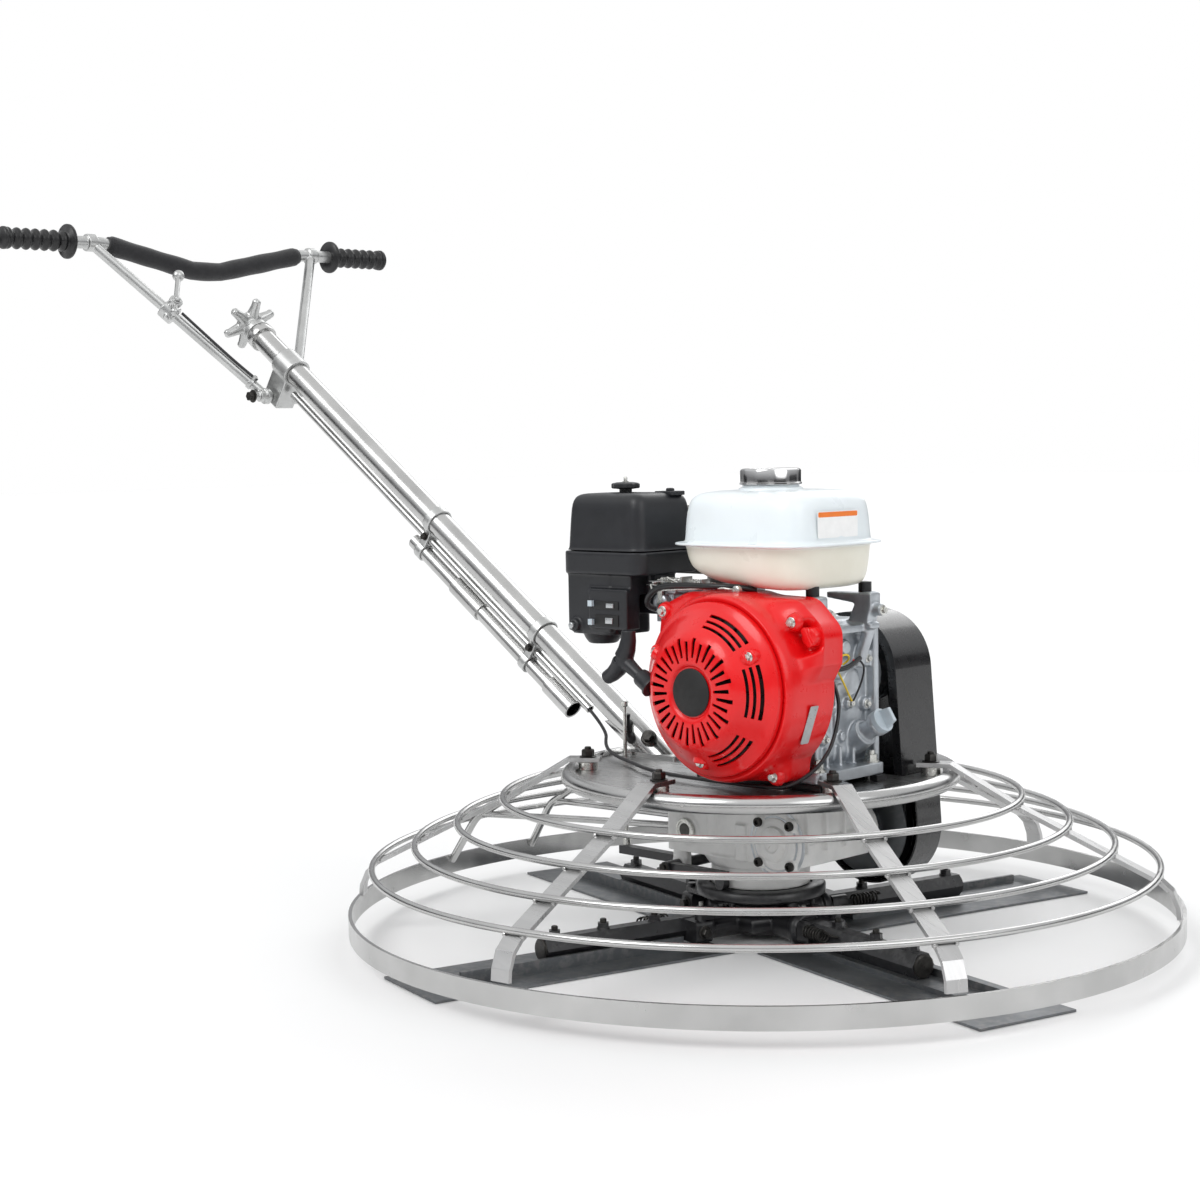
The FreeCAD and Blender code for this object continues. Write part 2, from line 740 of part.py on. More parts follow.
def build_engine_bolts():
    pieces = []
    top = SIZE["engine_foot"] + 16
    for x, y in FOOT_BOLTS:
        pieces.append(made(joined(cylinder(5, 34, (x, y, 230.3)), cylinder(11, 2.5, (x, y, top)),
                                  prism(6, 9.3, 8, (x, y, top + 2.5), TURN["Z"]),
                                  cylinder(10, 9, (x, y, SIZE["deck_top"])))))
    shape_node("engine_bolts", Part.Compound(pieces))


def build_crank():
    radius = SIZE["crank_radius"]
    at = (SIZE["crank_across"], 0, SIZE["crank_up"])
    shaft = turned([(0, -206), (radius, -206), (radius, -66), (40, -66), (40, -46), (20, -46), (20, -6),
                    (40, -6), (40, 12), (radius, 12), (radius, 84), (33, 84), (33, 106), (radius, 106),
                    (radius, 138), (0, 138)], at, TURN["Y"])
    node("crankshaft", shaft)
    disc = turned([(radius, -196), (60, -196), (60, -188), (102, -188), (102, -146), (90, -140),
                   (90, -178), (60, -178), (60, -150), (30, -142), (radius, -142)], at, TURN["Y"])
    vanes = []
    for step in range(12):
        turn = FreeCAD.Rotation(FreeCAD.Vector(0, 1, 0), step * 30)
        root = turn.multVec(FreeCAD.Vector(70, 0, -2))
        vanes.append(block((100 + root.x, -197, 376 + root.z), (100 + root.x + 28, -187, 376 + root.z + 4),
                           turn))
    node("flywheel", joined(disc, *vanes))


def build_shroud():
    """The red fan shroud: a round tunnel round the flywheel with a hood and a switch corner."""
    across = SIZE["crank_across"]
    up = SIZE["crank_up"]
    near = SIZE["shroud_near"]
    far = SIZE["shroud_far"]
    radius = SIZE["shroud_radius"]
    tunnel = cylinder(radius, far - near - 20, (across, near + 20, up), "Y")
    taper = cone(radius - 11, radius, 20, (across, near, up), "Y")
    hood = padded("XZ_Plane", [(-34, 404), (-26, 478), (24, 500), (120, 500), (120, 440), (10, 352)],
                  far - near - 34, (0, far, 0))
    corner = padded("XZ_Plane", [(150, 400), (238, 398), (240, 456), (200, 494), (110, 496), (110, 420)],
                    34, (0, far, 0))
    foot = block((104, far - 34, 252), (182, far, 330))
    outside = joined(tunnel, taper, hood, corner, foot)
    wall = 3
    hollow = [
        cylinder(radius - wall, far - near - 20 + 2, (across, near + 19.9, up), "Y"),
        cone(radius - 11 - wall, radius - wall, 20.2, (across, near - 0.1, up), "Y"),
        padded("XZ_Plane", [(-31, 407), (-23, 475), (24, 497), (117, 497), (117, 440), (10, 355)],
               far - near - 36, (0, far + 1, 0)),
        padded("XZ_Plane", [(150, 403), (235, 401), (237, 454), (199, 491), (110, 493), (110, 420)],
               32, (0, far + 1, 0)),
        block((107, far - 31, 255), (179, far + 1, 330)),
    ]
    node("fan_shroud", cut(outside, *hollow))


SLOTS = 32


def build_starter():
    """The recoil cover: a dished shell with a ring of radial slots, and the pull handle."""
    at = (SIZE["crank_across"], SIZE["shroud_near"], SIZE["crank_up"])
    facing = FreeCAD.Rotation(FreeCAD.Vector(1, 0, 0), 90)
    cup = turned([(0, 50), (72, 50), (80, 46), (104, 14), (113, 10), (113, 0), (109, 0), (109, 8),
                  (101, 11), (78, 43), (70, 47), (0, 47)], at, facing)
    slots = []
    for step in range(SLOTS):
        turn = FreeCAD.Rotation(FreeCAD.Vector(0, 1, 0), step * 360.0 / SLOTS)
        start = turn.multVec(FreeCAD.Vector(41 + 5 * (step % 2), 0, -1.8))
        low = (100 + start.x, -252, 376 + start.z)
        slots.append(block(low, (low[0] + 26, low[1] + 8, low[2] + 3.6), turn))
    node("recoil_cover", cut(cup, *slots))

    way = FreeCAD.Vector(-0.84, 0, 0.54)
    stem_at = FreeCAD.Vector(-11, -226, 387)
    stem = cylinder(6, 34, tuple(stem_at), tuple(way))
    middle = stem_at + way * 40
    across = FreeCAD.Vector(0.54, 0, 0.84)
    points = [tuple(middle - across * 38 + way * 10), tuple(middle - across * 14),
              tuple(middle + across * 14), tuple(middle + across * 38 + way * 10)]
    grip = tube_shape(bent_path(points, [30, 30]), 9)
    shape_node("recoil_handle", made(stem).fuse(grip))


def build_tank():
    """A moulded tank in two halves that meet at a seam flange, and its ribbed cap."""
    left = -27.0
    near = -160.0
    right = left + SIZE["tank_long"]
    far = near + SIZE["tank_deep"]
    low = SIZE["tank_bottom"]
    seam = SIZE["tank_seam"]
    high = SIZE["tank_top"]
    shell = rounded(block((left, near, low), (right, far, high)), 34, along("Z"))
    shell = rounded(shell, 20, at_level(float(high)))
    shell = rounded(shell, 26, at_level(float(low)))
    lip = rounded(block((left - 7, near - 7, seam - 2), (right + 7, far + 7, seam + 2)), 40, along("Z"))
    neck = cylinder(30, 6, (84, -66, high))
    node("fuel_tank", joined(shell, lip, neck))

    radius = SIZE["cap_radius"]
    cap = turned([(0, 0), (radius - 4, 0), (radius, 2), (radius, 20), (radius - 4, 22), (0, 22)],
                 (84, -66, high + 6.3))
    node("fuel_cap", cap)


def build_air_cleaner():
    left = -212.0
    near = -174.0
    right = left + SIZE["filter_long"]
    far = near + SIZE["filter_deep"]
    cover = rounded(block((left, near, 549), (right, far, 630)), 20, along("Z"))
    cover = rounded(cover, 10, at_level(630.0))
    node("air_cleaner_cover", cover)
    rim = rounded(block((left - 4, near - 4, 518), (right + 4, far + 4, 549)), 22, along("Z"))
    lower = rounded(block((left + 4, near + 6, 432), (-122, -84, 520)), 14, along("Z"))
    duct = block((-124, -132, 462), (-70, -92, 520))
    node("air_cleaner_body", joined(rim, lower, duct))
    knob = turned([(0, 0), (9, 0), (9, 5), (17, 6), (17, 13), (12, 14), (4, 14), (4, 20), (0, 20)],
                  (-144, -114, 630.3))
    lobes = [cylinder(5, 5, (-144 + 15 * math.cos(turn), -114 + 15 * math.sin(turn), 637))
             for turn in (0.0, math.pi / 2, math.pi, 3 * math.pi / 2)]
    node("air_cleaner_knob", joined(knob, *lobes))


def build_fuel_system():
    body = block((-69.7, -132, 452), (-37, -88, 500))
    bowl = cylinder(18, 26, (-54, -110, 428))
    node("carburettor", joined(body, bowl))

    box = rounded(block((-196, -32, 512), (-40, 96, 604)), 24, along("Z"))
    box = rounded(box, 12, at_level(604.0))
    pipe = cylinder(16, 26, (-104, 34, 486.5))
    outlet = cylinder(14, 26, (-160, 94, 560), "Y")
    node("muffler", joined(box, pipe, outlet))


def build_small_controls():
    for name, x, up in (("choke_lever", -160, 474), ("fuel_lever", -160, 448)):
        tab = joined(block((x, -172, up), (x + 16, -168.3, up + 6)),
                     block((x + 4, -182, up - 1), (x + 12, -170, up + 7)))
        node(name, tab)
    boss = cylinder(6, 12, (-52, -144.3, 478), "Y")
    lever = block((-56, -144.3, 478), (-48, -140.3, 512))
    node("governor_arm", joined(boss, lever))
    knob = turned([(0, 0), (13, 0), (13, 12), (11, 15), (0, 15)], (222, -142.3, 447),
                  FreeCAD.Rotation(FreeCAD.Vector(1, 0, 0), 90))
    node("engine_switch", knob)
    turn = direction((0.85, 0, 0.53))
    cap = turned([(0, 0), (17, 0), (17, 9), (0, 9)], (207.3, 8, 318.2), turn)
    wing = padded("XZ_Plane", [(-14, 8), (14, 8), (10, 26), (-10, 26)], 6, (207.3, 8, 318.2), turn,
                  centred=True)
    node("oil_cap", joined(cap, wing))


# ---------------------------------------------------------------- handle

HANDLE_START = FreeCAD.Vector(-165, 0, 218)


def handle_way():
    slope = math.radians(float(SIZE["handle_slope"]))
    return FreeCAD.Vector(-math.cos(slope), 0, math.sin(slope))


def handle_point(run, drop=0.0, side=0.0):
    """A point run millimetres up the handle, drop beneath its axis and side towards +Y."""
    slope = math.radians(float(SIZE["handle_slope"]))
    under = FreeCAD.Vector(-math.sin(slope), 0, -math.cos(slope))
    point = HANDLE_START + handle_way() * run + under * float(drop)
    return (point.x, point.y + side, point.z)


def handle_turn():
    return direction(tuple(handle_way()))


def build_handle():
    radius = SIZE["tube_radius"]
    wall = SIZE["tube_wall"]
    way = tuple(handle_way())
    outer = cylinder(radius, SIZE["handle_long"], handle_point(0), way)
    bore = cylinder(radius - wall, SIZE["handle_long"] + 20, handle_point(-10), way)
    foot_top = SIZE["deck_top"] + 6
    floor = block((-320, -60, 100), (-60, 60, foot_top))
    shank = cut(outer, bore, floor)
    foot = rounded(block((-248, -23, SIZE["deck_top"]), (-142, 40, foot_top)), 6, along("Z"))
    web = padded("XZ_Plane", [(-250, foot_top), (-236, foot_top), (-292, 280), (-306, 280)], 8,
                 (0, 4, 0))
    web_clear = cylinder(radius - 0.5, 300, handle_point(0), way)
    node("handle_tube", joined(shank, foot, cut(web, web_clear)))

    conduit = cut(cylinder(SIZE["conduit_radius"], 886, handle_point(188, SIZE["conduit_drop"]), way),
                  cylinder(SIZE["conduit_radius"] - 2, 900, handle_point(180, SIZE["conduit_drop"]), way))
    node("cable_conduit", conduit)

    drop = SIZE["lift_drop"]
    low = 217
    lift = cut(joined(cylinder(SIZE["lift_radius"], SIZE["lift_long"], handle_point(low, drop), way),
                      cylinder(15.8, 62, handle_point(low, drop), way),
                      cylinder(15.8, 74, handle_point(low + 250, drop), way)),
               cylinder(SIZE["lift_radius"], 60, handle_point(low - 1, drop), way),
               cylinder(SIZE["lift_radius"] - 2.5, 500, handle_point(low - 10, drop), way))
    node("lift_tube", lift)

    build_handle_clamps(way)


def build_handle_clamps(way):
    """Two saddles for the lift tube and the clamp block of the handlebar pivot."""
    pieces = []
    for run in (330, 630):
        saddle = joined(cylinder(24, 16, handle_point(run), way),
                        cylinder(16.5, 16, handle_point(run, SIZE["lift_drop"]), way),
                        block((-33.0, -11.5, 0), (33.0, 11.5, 16)))
        web = saddle.Shapes[2]
        web.Placement = FreeCAD.Placement(vector(handle_point(run, 30)), handle_turn()).multiply(
            FreeCAD.Placement(FreeCAD.Vector(-33, -11.5, 0), FreeCAD.Rotation()))
        holes = [cylinder(SIZE["tube_radius"], 40, handle_point(run - 10), way),
                 cylinder(SIZE["conduit_radius"], 40, handle_point(run - 10, SIZE["conduit_drop"]), way),
                 cylinder(SIZE["lift_radius"], 40, handle_point(run - 10, SIZE["lift_drop"]), way)]
        pieces.append(made(cut(saddle, *holes)))
    clamp_web = block((-38.0, -19, 0), (38.0, 19, 44))
    clamp_web.Placement = FreeCAD.Placement(vector(handle_point(1085, 34)), handle_turn()).multiply(
        FreeCAD.Placement(FreeCAD.Vector(-38, -19, 0), FreeCAD.Rotation()))
    pivot = handle_point(1106.7, SIZE["lift_drop"])
    clamp = cut(joined(cylinder(26, 44, handle_point(1085), way), clamp_web),
                cylinder(SIZE["tube_radius"], 80, handle_point(1070), way),
                cylinder(6.05, 80, (pivot[0], -40, pivot[2]), "Y"))
    pieces.append(made(clamp))
    shape_node("handle_clamps", Part.Compound(pieces))


def build_pitch_knob():
    """A six-lobed handwheel with a stem that runs in the end of the main tube."""
    end = handle_point(float(SIZE["handle_long"]))
    turn = handle_turn()
    stem = turned([(0, -60), (8, -60), (8, 1), (24, 1), (24, 12), (14, 20), (14, 26), (36, 26), (38, 29),
                   (38, 41), (36, 44), (0, 44)], end, turn)
    lobes = []
    for step in range(6):
        local = FreeCAD.Vector(40 * math.cos(step * math.pi / 3), 40 * math.sin(step * math.pi / 3), 27)
        at = turn.multVec(local) + vector(end)
        lobes.append(cylinder(10, 16, tuple(at), tuple(handle_way())))
    node("pitch_knob", joined(stem, *lobes))


BAR_AT = FreeCAD.Vector(-1330, 0, 1068)


def build_handlebar():
    half = float(SIZE["bar_half"])
    dip = float(SIZE["bar_dip"])
    points = [(BAR_AT.x, -half, BAR_AT.z), (BAR_AT.x, -215, BAR_AT.z), (BAR_AT.x, 0, BAR_AT.z - dip),
              (BAR_AT.x, 215, BAR_AT.z), (BAR_AT.x, half, BAR_AT.z)]
    path = bent_path(points, [90, 160, 90])
    bar = tube_shape(path, float(SIZE["bar_tube"]))
    pivot = handle_point(1106.7, SIZE["lift_drop"])
    frame = [bar]
    for side in (-1, 1):
        top = FreeCAD.Vector(BAR_AT.x, side * 240, BAR_AT.z)
        low = FreeCAD.Vector(pivot[0], side * 31, pivot[2])
        frame.append(Part.makeCylinder(float(SIZE["side_tube"]), (low - top).Length, top, low - top))
        frame.append(Part.makeCylinder(14, 9, FreeCAD.Vector(pivot[0], side * 30.5 - 4.5, pivot[2]),
                                       FreeCAD.Vector(0, 1, 0)))
    frame.append(Part.makeCylinder(6, 104, FreeCAD.Vector(pivot[0], -60, pivot[2]),
                                   FreeCAD.Vector(0, 1, 0)))
    frame.append(Part.makeCylinder(10, 9, FreeCAD.Vector(pivot[0], -46, pivot[2]),
                                   FreeCAD.Vector(0, 1, 0)))
    lever_at, lever_way, outward = throttle_frame()
    frame.append(Part.makeCylinder(16, 26, lever_at - lever_way * 13, lever_way))
    frame.append(Part.makeCylinder(7, 22, lever_at, outward))
    welded = frame[0].fuse(frame[1:])
    shape_node("handlebar", welded)

    grips = []
    for side in (-1, 1):
        inner = FreeCAD.Vector(BAR_AT.x, side * (half - float(SIZE["grip_long"])), BAR_AT.z)
        out = FreeCAD.Vector(0, side, 0)
        sleeve = Part.makeCylinder(float(SIZE["grip_radius"]), float(SIZE["grip_long"]) + 4, inner, out)
        disc = Part.makeCylinder(float(SIZE["guard_disc"]), 7, inner, out)
        core = Part.makeCylinder(float(SIZE["bar_tube"]), float(SIZE["grip_long"]), inner, out)
        grips.append(sleeve.fuse(disc).cut(core))
    shape_node("grips", Part.Compound(grips))

    pad_path = bent_path([(BAR_AT.x, -205, BAR_AT.z - dip * 10 / 215), (BAR_AT.x, 0, BAR_AT.z - dip),
                          (BAR_AT.x, 205, BAR_AT.z - dip * 10 / 215)], [160])
    pad = tube_shape(pad_path, float(SIZE["foam_radius"])).cut(bar)
    shape_node("foam_pad", pad)


def throttle_frame():
    """The point on the -Y side tube that carries the throttle, the tube's way and the outward way."""
    pivot = handle_point(1106.7, SIZE["lift_drop"])
    top = FreeCAD.Vector(BAR_AT.x, -240, BAR_AT.z)
    low = FreeCAD.Vector(pivot[0], -31, pivot[2])
    way = (low - top).normalize()
    outward = way.cross(FreeCAD.Vector(0, 1, 0)).normalize()
    return top + (low - top) * 0.45, way, outward


def build_throttle():
    at, way, outward = throttle_frame()
    sideways = outward.cross(way).normalize()
    base = at + outward * 23.6

    boss = Part.makeCylinder(12, 7, base, outward)
    reach = (sideways * 0.85 - way * 0.52).normalize()
    stem = made(turned([(0, 0), (4.5, 0), (4.5, 62), (8.5, 66), (8.5, 74), (4.5, 78), (0, 78)],
                       tuple(base + outward * 3.5), direction(tuple(reach))))
    tail = Part.makeCylinder(4, 26, base + outward * 3.5, -reach)
    shape_node("throttle_lever", boss.fuse([stem, tail]))

    lift = outward * 14.5
    points = [at + way * 20 + lift + outward * 2, at + way * 80 + lift, at + way * 150 + lift - outward * 2,
              at + way * 196 + lift]
    shape_node("throttle_cable", cable_shape("throttle_cable", [tuple(item) for item in points], 2.6))


def build_wire():
    """The stop-switch wire: out of the conduit, round the engine's foot and up to the block."""
    start = handle_point(188, SIZE["conduit_drop"])
    way = handle_way()
    inside = (start[0] + way.x * 30, 0, start[2] + way.z * 30)
    points = [inside, (-300, -4, 268), (-262, -48, 250), (-215, -74, 243.5), (-150, -104, 243),
              (-90, -136, 243), (-20, -150, 243), (50, -152, 243), (120, -152, 243.4), (184, -148, 247),
              (216, -116, 282), (214, -88, 326), (202, -70, 366), (171.5, -58, 392)]
    shape_node("stop_wire", cable_shape("stop_wire", points, 2.6))


build_guard()
build_deck()
build_straps()
build_stays()
build_gearbox()
build_belt_drive()
build_rotor()
build_blades()
build_pitch_gear()
build_engine_block()
build_engine_bolts()
build_crank()
build_shroud()
build_starter()
build_tank()
build_air_cleaner()
build_fuel_system()
build_small_controls()
build_handle()
build_pitch_knob()
build_handlebar()
build_throttle()
build_wire()


def export_nodes():
    doc.recompute()
    for item in doc.Objects:
        if "Invalid" in item.State or "Error" in item.State:
            raise RuntimeError("failed object: " + item.Name + " " + item.Label + " " + str(item.State))
    for item in NODES:
        shape = item.Shape
        if shape.isNull() or not shape.isValid():
            raise RuntimeError("bad shape: " + item.Label)
        if not shape.Solids:
            raise RuntimeError("no solid: " + item.Label)
    os.makedirs("parts", exist_ok=True)
    for item in NODES:
        item.Shape.exportStep("parts/" + item.Label + ".step")
        print(item.Label, "solids", len(item.Shape.Solids), "volume %.0f" % item.Shape.Volume)
    print("nodes", len(NODES))


export_nodes()
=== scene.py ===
"""Looks, studio and fine detail for the walk-behind power trowel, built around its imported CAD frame."""

import json
import math

import bmesh
import bpy
from mathutils import Matrix, Vector


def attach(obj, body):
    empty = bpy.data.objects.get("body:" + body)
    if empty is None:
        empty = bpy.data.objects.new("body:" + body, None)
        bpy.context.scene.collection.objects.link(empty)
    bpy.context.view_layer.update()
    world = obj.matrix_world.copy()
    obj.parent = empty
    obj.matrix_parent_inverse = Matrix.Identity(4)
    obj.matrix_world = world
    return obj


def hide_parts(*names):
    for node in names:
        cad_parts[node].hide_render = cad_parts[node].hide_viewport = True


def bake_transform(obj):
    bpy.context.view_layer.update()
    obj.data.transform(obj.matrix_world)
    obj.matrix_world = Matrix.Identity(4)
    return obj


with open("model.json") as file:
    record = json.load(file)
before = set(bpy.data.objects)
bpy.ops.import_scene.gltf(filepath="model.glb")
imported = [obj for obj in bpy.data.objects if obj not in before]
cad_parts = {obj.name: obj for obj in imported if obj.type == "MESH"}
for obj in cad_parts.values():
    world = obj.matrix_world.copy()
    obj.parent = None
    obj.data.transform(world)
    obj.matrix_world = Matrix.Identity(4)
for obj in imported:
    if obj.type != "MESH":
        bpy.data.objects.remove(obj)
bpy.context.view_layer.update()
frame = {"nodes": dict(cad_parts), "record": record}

MM = 0.001
FULL = 2 * math.pi
UP = (0, 0, 1)
AHEAD = (1, 0, 0)
LEFT = (0, 1, 0)
RIGHT = (0, -1, 0)


# ---------------- materials

def link(tree, a, b):
    tree.links.new(a, b)


def noise(tree, scale, detail, stretch=None, rough=0.55):
    """A noise texture in the row frame's metres, stretched along an axis where asked."""
    place = tree.nodes.new("ShaderNodeTexCoord")
    grain = tree.nodes.new("ShaderNodeTexNoise")
    grain.inputs["Scale"].default_value = scale
    grain.inputs["Detail"].default_value = detail
    grain.inputs["Roughness"].default_value = rough
    source = place.outputs["Object"]
    if stretch:
        mapping = tree.nodes.new("ShaderNodeMapping")
        mapping.inputs["Scale"].default_value = stretch
        link(tree, source, mapping.inputs["Vector"])
        source = mapping.outputs["Vector"]
    link(tree, source, grain.inputs["Vector"])
    return grain.outputs["Fac"]


def ramp(tree, value, stops):
    """A colour ramp over value, from (position, colour) stops."""
    band = tree.nodes.new("ShaderNodeValToRGB")
    while len(band.color_ramp.elements) < len(stops):
        band.color_ramp.elements.new(0.5)
    for element, (where, colour) in zip(band.color_ramp.elements, stops):
        element.position = where
        element.color = (*colour, 1.0)
    link(tree, value, band.inputs["Fac"])
    return band.outputs["Color"]


def spread(tree, value, low, high):
    """value, from about a third to two thirds, mapped to low..high."""
    node = tree.nodes.new("ShaderNodeMapRange")
    node.inputs["From Min"].default_value = 0.32
    node.inputs["From Max"].default_value = 0.68
    node.inputs["To Min"].default_value = low
    node.inputs["To Max"].default_value = high
    link(tree, value, node.inputs["Value"])
    return node.outputs["Result"]


def mixed(tree, share, first, second):
    node = tree.nodes.new("ShaderNodeMix")
    node.data_type = "RGBA"
    link(tree, share, node.inputs["Factor"])
    link(tree, first, node.inputs["A"])
    if isinstance(second, tuple):
        node.inputs["B"].default_value = (*second, 1.0)
    else:
        link(tree, second, node.inputs["B"])
    return node.outputs["Result"]


def shade(colour, factor):
    return tuple(min(1.0, part * factor) for part in colour)


def added(name, data):
    """A new object in the scene."""
    item = bpy.data.objects.new(name, data)
    bpy.context.scene.collection.objects.link(item)
    return item


def finish(name, colour, rough, metal=0.0, vary=0.12, size=20.0, rough_vary=0.05, bump=0.05, grain=500.0,
        stretch=None, edge_wear_and_highlight=None, round_edge=0.0, depth=0.0004, **shader):
    """A procedural finish: mottled colour and roughness, a fine surface grain and optional tinted convex
    edges, partly wear and partly painted highlight.
    """
    item = bpy.data.materials.new(name)
    item.use_nodes = True
    tree = item.node_tree
    base = tree.nodes["Principled BSDF"]
    tint = ramp(tree, noise(tree, size, 6.0, stretch), [(0.34, shade(colour, 1 - vary)),
        (0.66, shade(colour, 1 + vary))])
    # Convex edges, in noise patches, take the given colour: wear on the white casting, mill steel and exhaust,
    # and painted highlight where it lightens the black paint, black moulding and alloy.
    if edge_wear_and_highlight:
        place = tree.nodes.new("ShaderNodeNewGeometry")
        wear_and_highlight_mask = tree.nodes.new("ShaderNodeMath")
        wear_and_highlight_mask.operation = "MULTIPLY"
        link(tree, ramp(tree, place.outputs["Pointiness"], [(0.53, (0, 0, 0)), (0.62, (1, 1, 1))]),
            wear_and_highlight_mask.inputs[0])
        link(tree, ramp(tree, noise(tree, 90.0, 8.0), [(0.45, (0, 0, 0)), (0.62, (1, 1, 1))]),
            wear_and_highlight_mask.inputs[1])
        tint = mixed(tree, wear_and_highlight_mask.outputs["Value"], tint, edge_wear_and_highlight)
    link(tree, tint, base.inputs["Base Color"])
    link(tree, spread(tree, noise(tree, size * 3.1, 8.0, stretch), rough - rough_vary, rough + rough_vary),
        base.inputs["Roughness"])
    base.inputs["Metallic"].default_value = metal
    relief = tree.nodes.new("ShaderNodeBump")
    relief.inputs["Strength"].default_value = bump
    relief.inputs["Distance"].default_value = depth
    link(tree, noise(tree, grain, 4.0, stretch), relief.inputs["Height"])
    if round_edge:
        soft = tree.nodes.new("ShaderNodeBevel")
        soft.samples = 4
        soft.inputs["Radius"].default_value = round_edge
        link(tree, soft.outputs["Normal"], relief.inputs["Normal"])
    link(tree, relief.outputs["Normal"], base.inputs["Normal"])
    for socket, value in shader.items():
        base.inputs[socket.replace("_", " ").title().replace("Ior", "IOR")].default_value = value
    return item


STEEL = finish("polished_steel", (0.52, 0.52, 0.515), 0.23, 1.0, vary=0.10, size=9.0, bump=0.012, grain=300.0)
PLATE = finish("brushed_plate", (0.53, 0.53, 0.53), 0.30, 1.0, vary=0.06, size=6.0, bump=0.012, grain=120.0,
    stretch=(1.0, 14.0, 1.0), round_edge=0.0007)
MILL = finish("mill_steel", (0.17, 0.18, 0.19), 0.42, 0.85, vary=0.16, size=5.0, rough_vary=0.08, bump=0.06,
    grain=240.0, edge_wear_and_highlight=(0.24, 0.24, 0.24), round_edge=0.0005)
BLACK = finish("black_paint", (0.014, 0.014, 0.016), 0.34, vary=0.3, size=30.0, rough_vary=0.07, bump=0.12,
    grain=420.0, edge_wear_and_highlight=(0.040, 0.040, 0.041), round_edge=0.0009, coat_weight=0.35, coat_roughness=0.25)
GUARD_BLACK = finish("black_powder_coat", (0.010, 0.010, 0.011), 0.27, vary=0.25, size=18.0, rough_vary=0.04,
    bump=0.02, grain=300.0, round_edge=0.0014, coat_weight=0.5, coat_roughness=0.12)
WHITE = finish("white_casting", (0.80, 0.80, 0.785), 0.42, vary=0.05, size=35.0, rough_vary=0.08, bump=0.30,
    grain=330.0, edge_wear_and_highlight=(0.50, 0.47, 0.42), coat_weight=0.25, coat_roughness=0.3)
ALLOY = finish("cast_alloy", (0.50, 0.53, 0.56), 0.40, 0.82, vary=0.12, size=40.0, rough_vary=0.07, bump=0.42,
    grain=420.0, edge_wear_and_highlight=(0.72, 0.74, 0.76))
RED = finish("red_gloss", (0.74, 0.004, 0.006), 0.30, vary=0.03, size=16.0, rough_vary=0.04, bump=0.01,
    grain=160.0, coat_weight=0.3, coat_roughness=0.10, specular_ior_level=0.35)
CHARCOAL = finish("black_moulding", (0.011, 0.012, 0.015), 0.40, vary=0.14, size=24.0, bump=0.22, grain=1300.0,
    edge_wear_and_highlight=(0.030, 0.032, 0.036))
RUBBER = finish("grip_rubber", (0.008, 0.008, 0.009), 0.36, vary=0.2, size=60.0, rough_vary=0.08, bump=0.16,
    grain=900.0)
FOAM = finish("foam_sleeve", (0.013, 0.013, 0.015), 0.86, vary=0.22, size=120.0, bump=0.75, grain=1500.0,
    sheen_weight=0.25, sheen_roughness=0.5)
ZINC = finish("zinc_fastener", (0.60, 0.60, 0.57), 0.30, 1.0, vary=0.14, size=140.0, rough_vary=0.09,
    bump=0.10, grain=900.0)
DARK_BOLT = finish("black_oxide_bolt", (0.045, 0.043, 0.040), 0.36, 0.8, vary=0.3, size=120.0, rough_vary=0.1,
    bump=0.14, grain=800.0)
SILVER = finish("silver_casting", (0.52, 0.525, 0.52), 0.34, 0.9, vary=0.08, size=30.0, bump=0.10, grain=260.0)
CHROME = finish("chrome_cap", (0.60, 0.60, 0.60), 0.15, 1.0, vary=0.05, size=40.0, rough_vary=0.04, bump=0.02,
    grain=500.0)
GREY = finish("grey_moulding", (0.50, 0.57, 0.62), 0.38, vary=0.06, size=50.0, bump=0.12, grain=800.0)
LABEL = finish("blank_label", (0.90, 0.90, 0.895), 0.36, vary=0.03, size=60.0, bump=0.02, grain=700.0)
LABEL_FOIL = finish("blank_foil_label", (0.50, 0.52, 0.53), 0.33, 0.7, vary=0.09, size=90.0, rough_vary=0.07,
    grain=900.0)
ORANGE = finish("orange_band", (0.86, 0.20, 0.02), 0.36, vary=0.04, size=60.0, bump=0.02, grain=700.0)
YELLOW = finish("yellow_lead", (0.80, 0.56, 0.04), 0.38, vary=0.08, size=90.0, bump=0.06, grain=900.0)
LEAD = finish("black_lead", (0.016, 0.016, 0.018), 0.40, vary=0.2, size=90.0, bump=0.08, grain=900.0)
# Near-black: painted shade inside the starter cover, the hood clip's pocket and the air cleaner's lever slots,
# and the blank badge's own colour.
BADGE_AND_PAINTED_SHADE_BLACK = finish("unlit_inside", (0.006, 0.006, 0.006), 0.55, vary=0.3, size=50.0)
EXHAUST = finish("exhaust_steel", (0.22, 0.21, 0.20), 0.42, 0.85, vary=0.28, size=22.0, rough_vary=0.12,
    bump=0.22, grain=300.0, edge_wear_and_highlight=(0.40, 0.36, 0.31))
OIL = finish("sight_window", (0.050, 0.048, 0.040), 0.22, vary=0.25, size=80.0, rough_vary=0.03, bump=0.02)


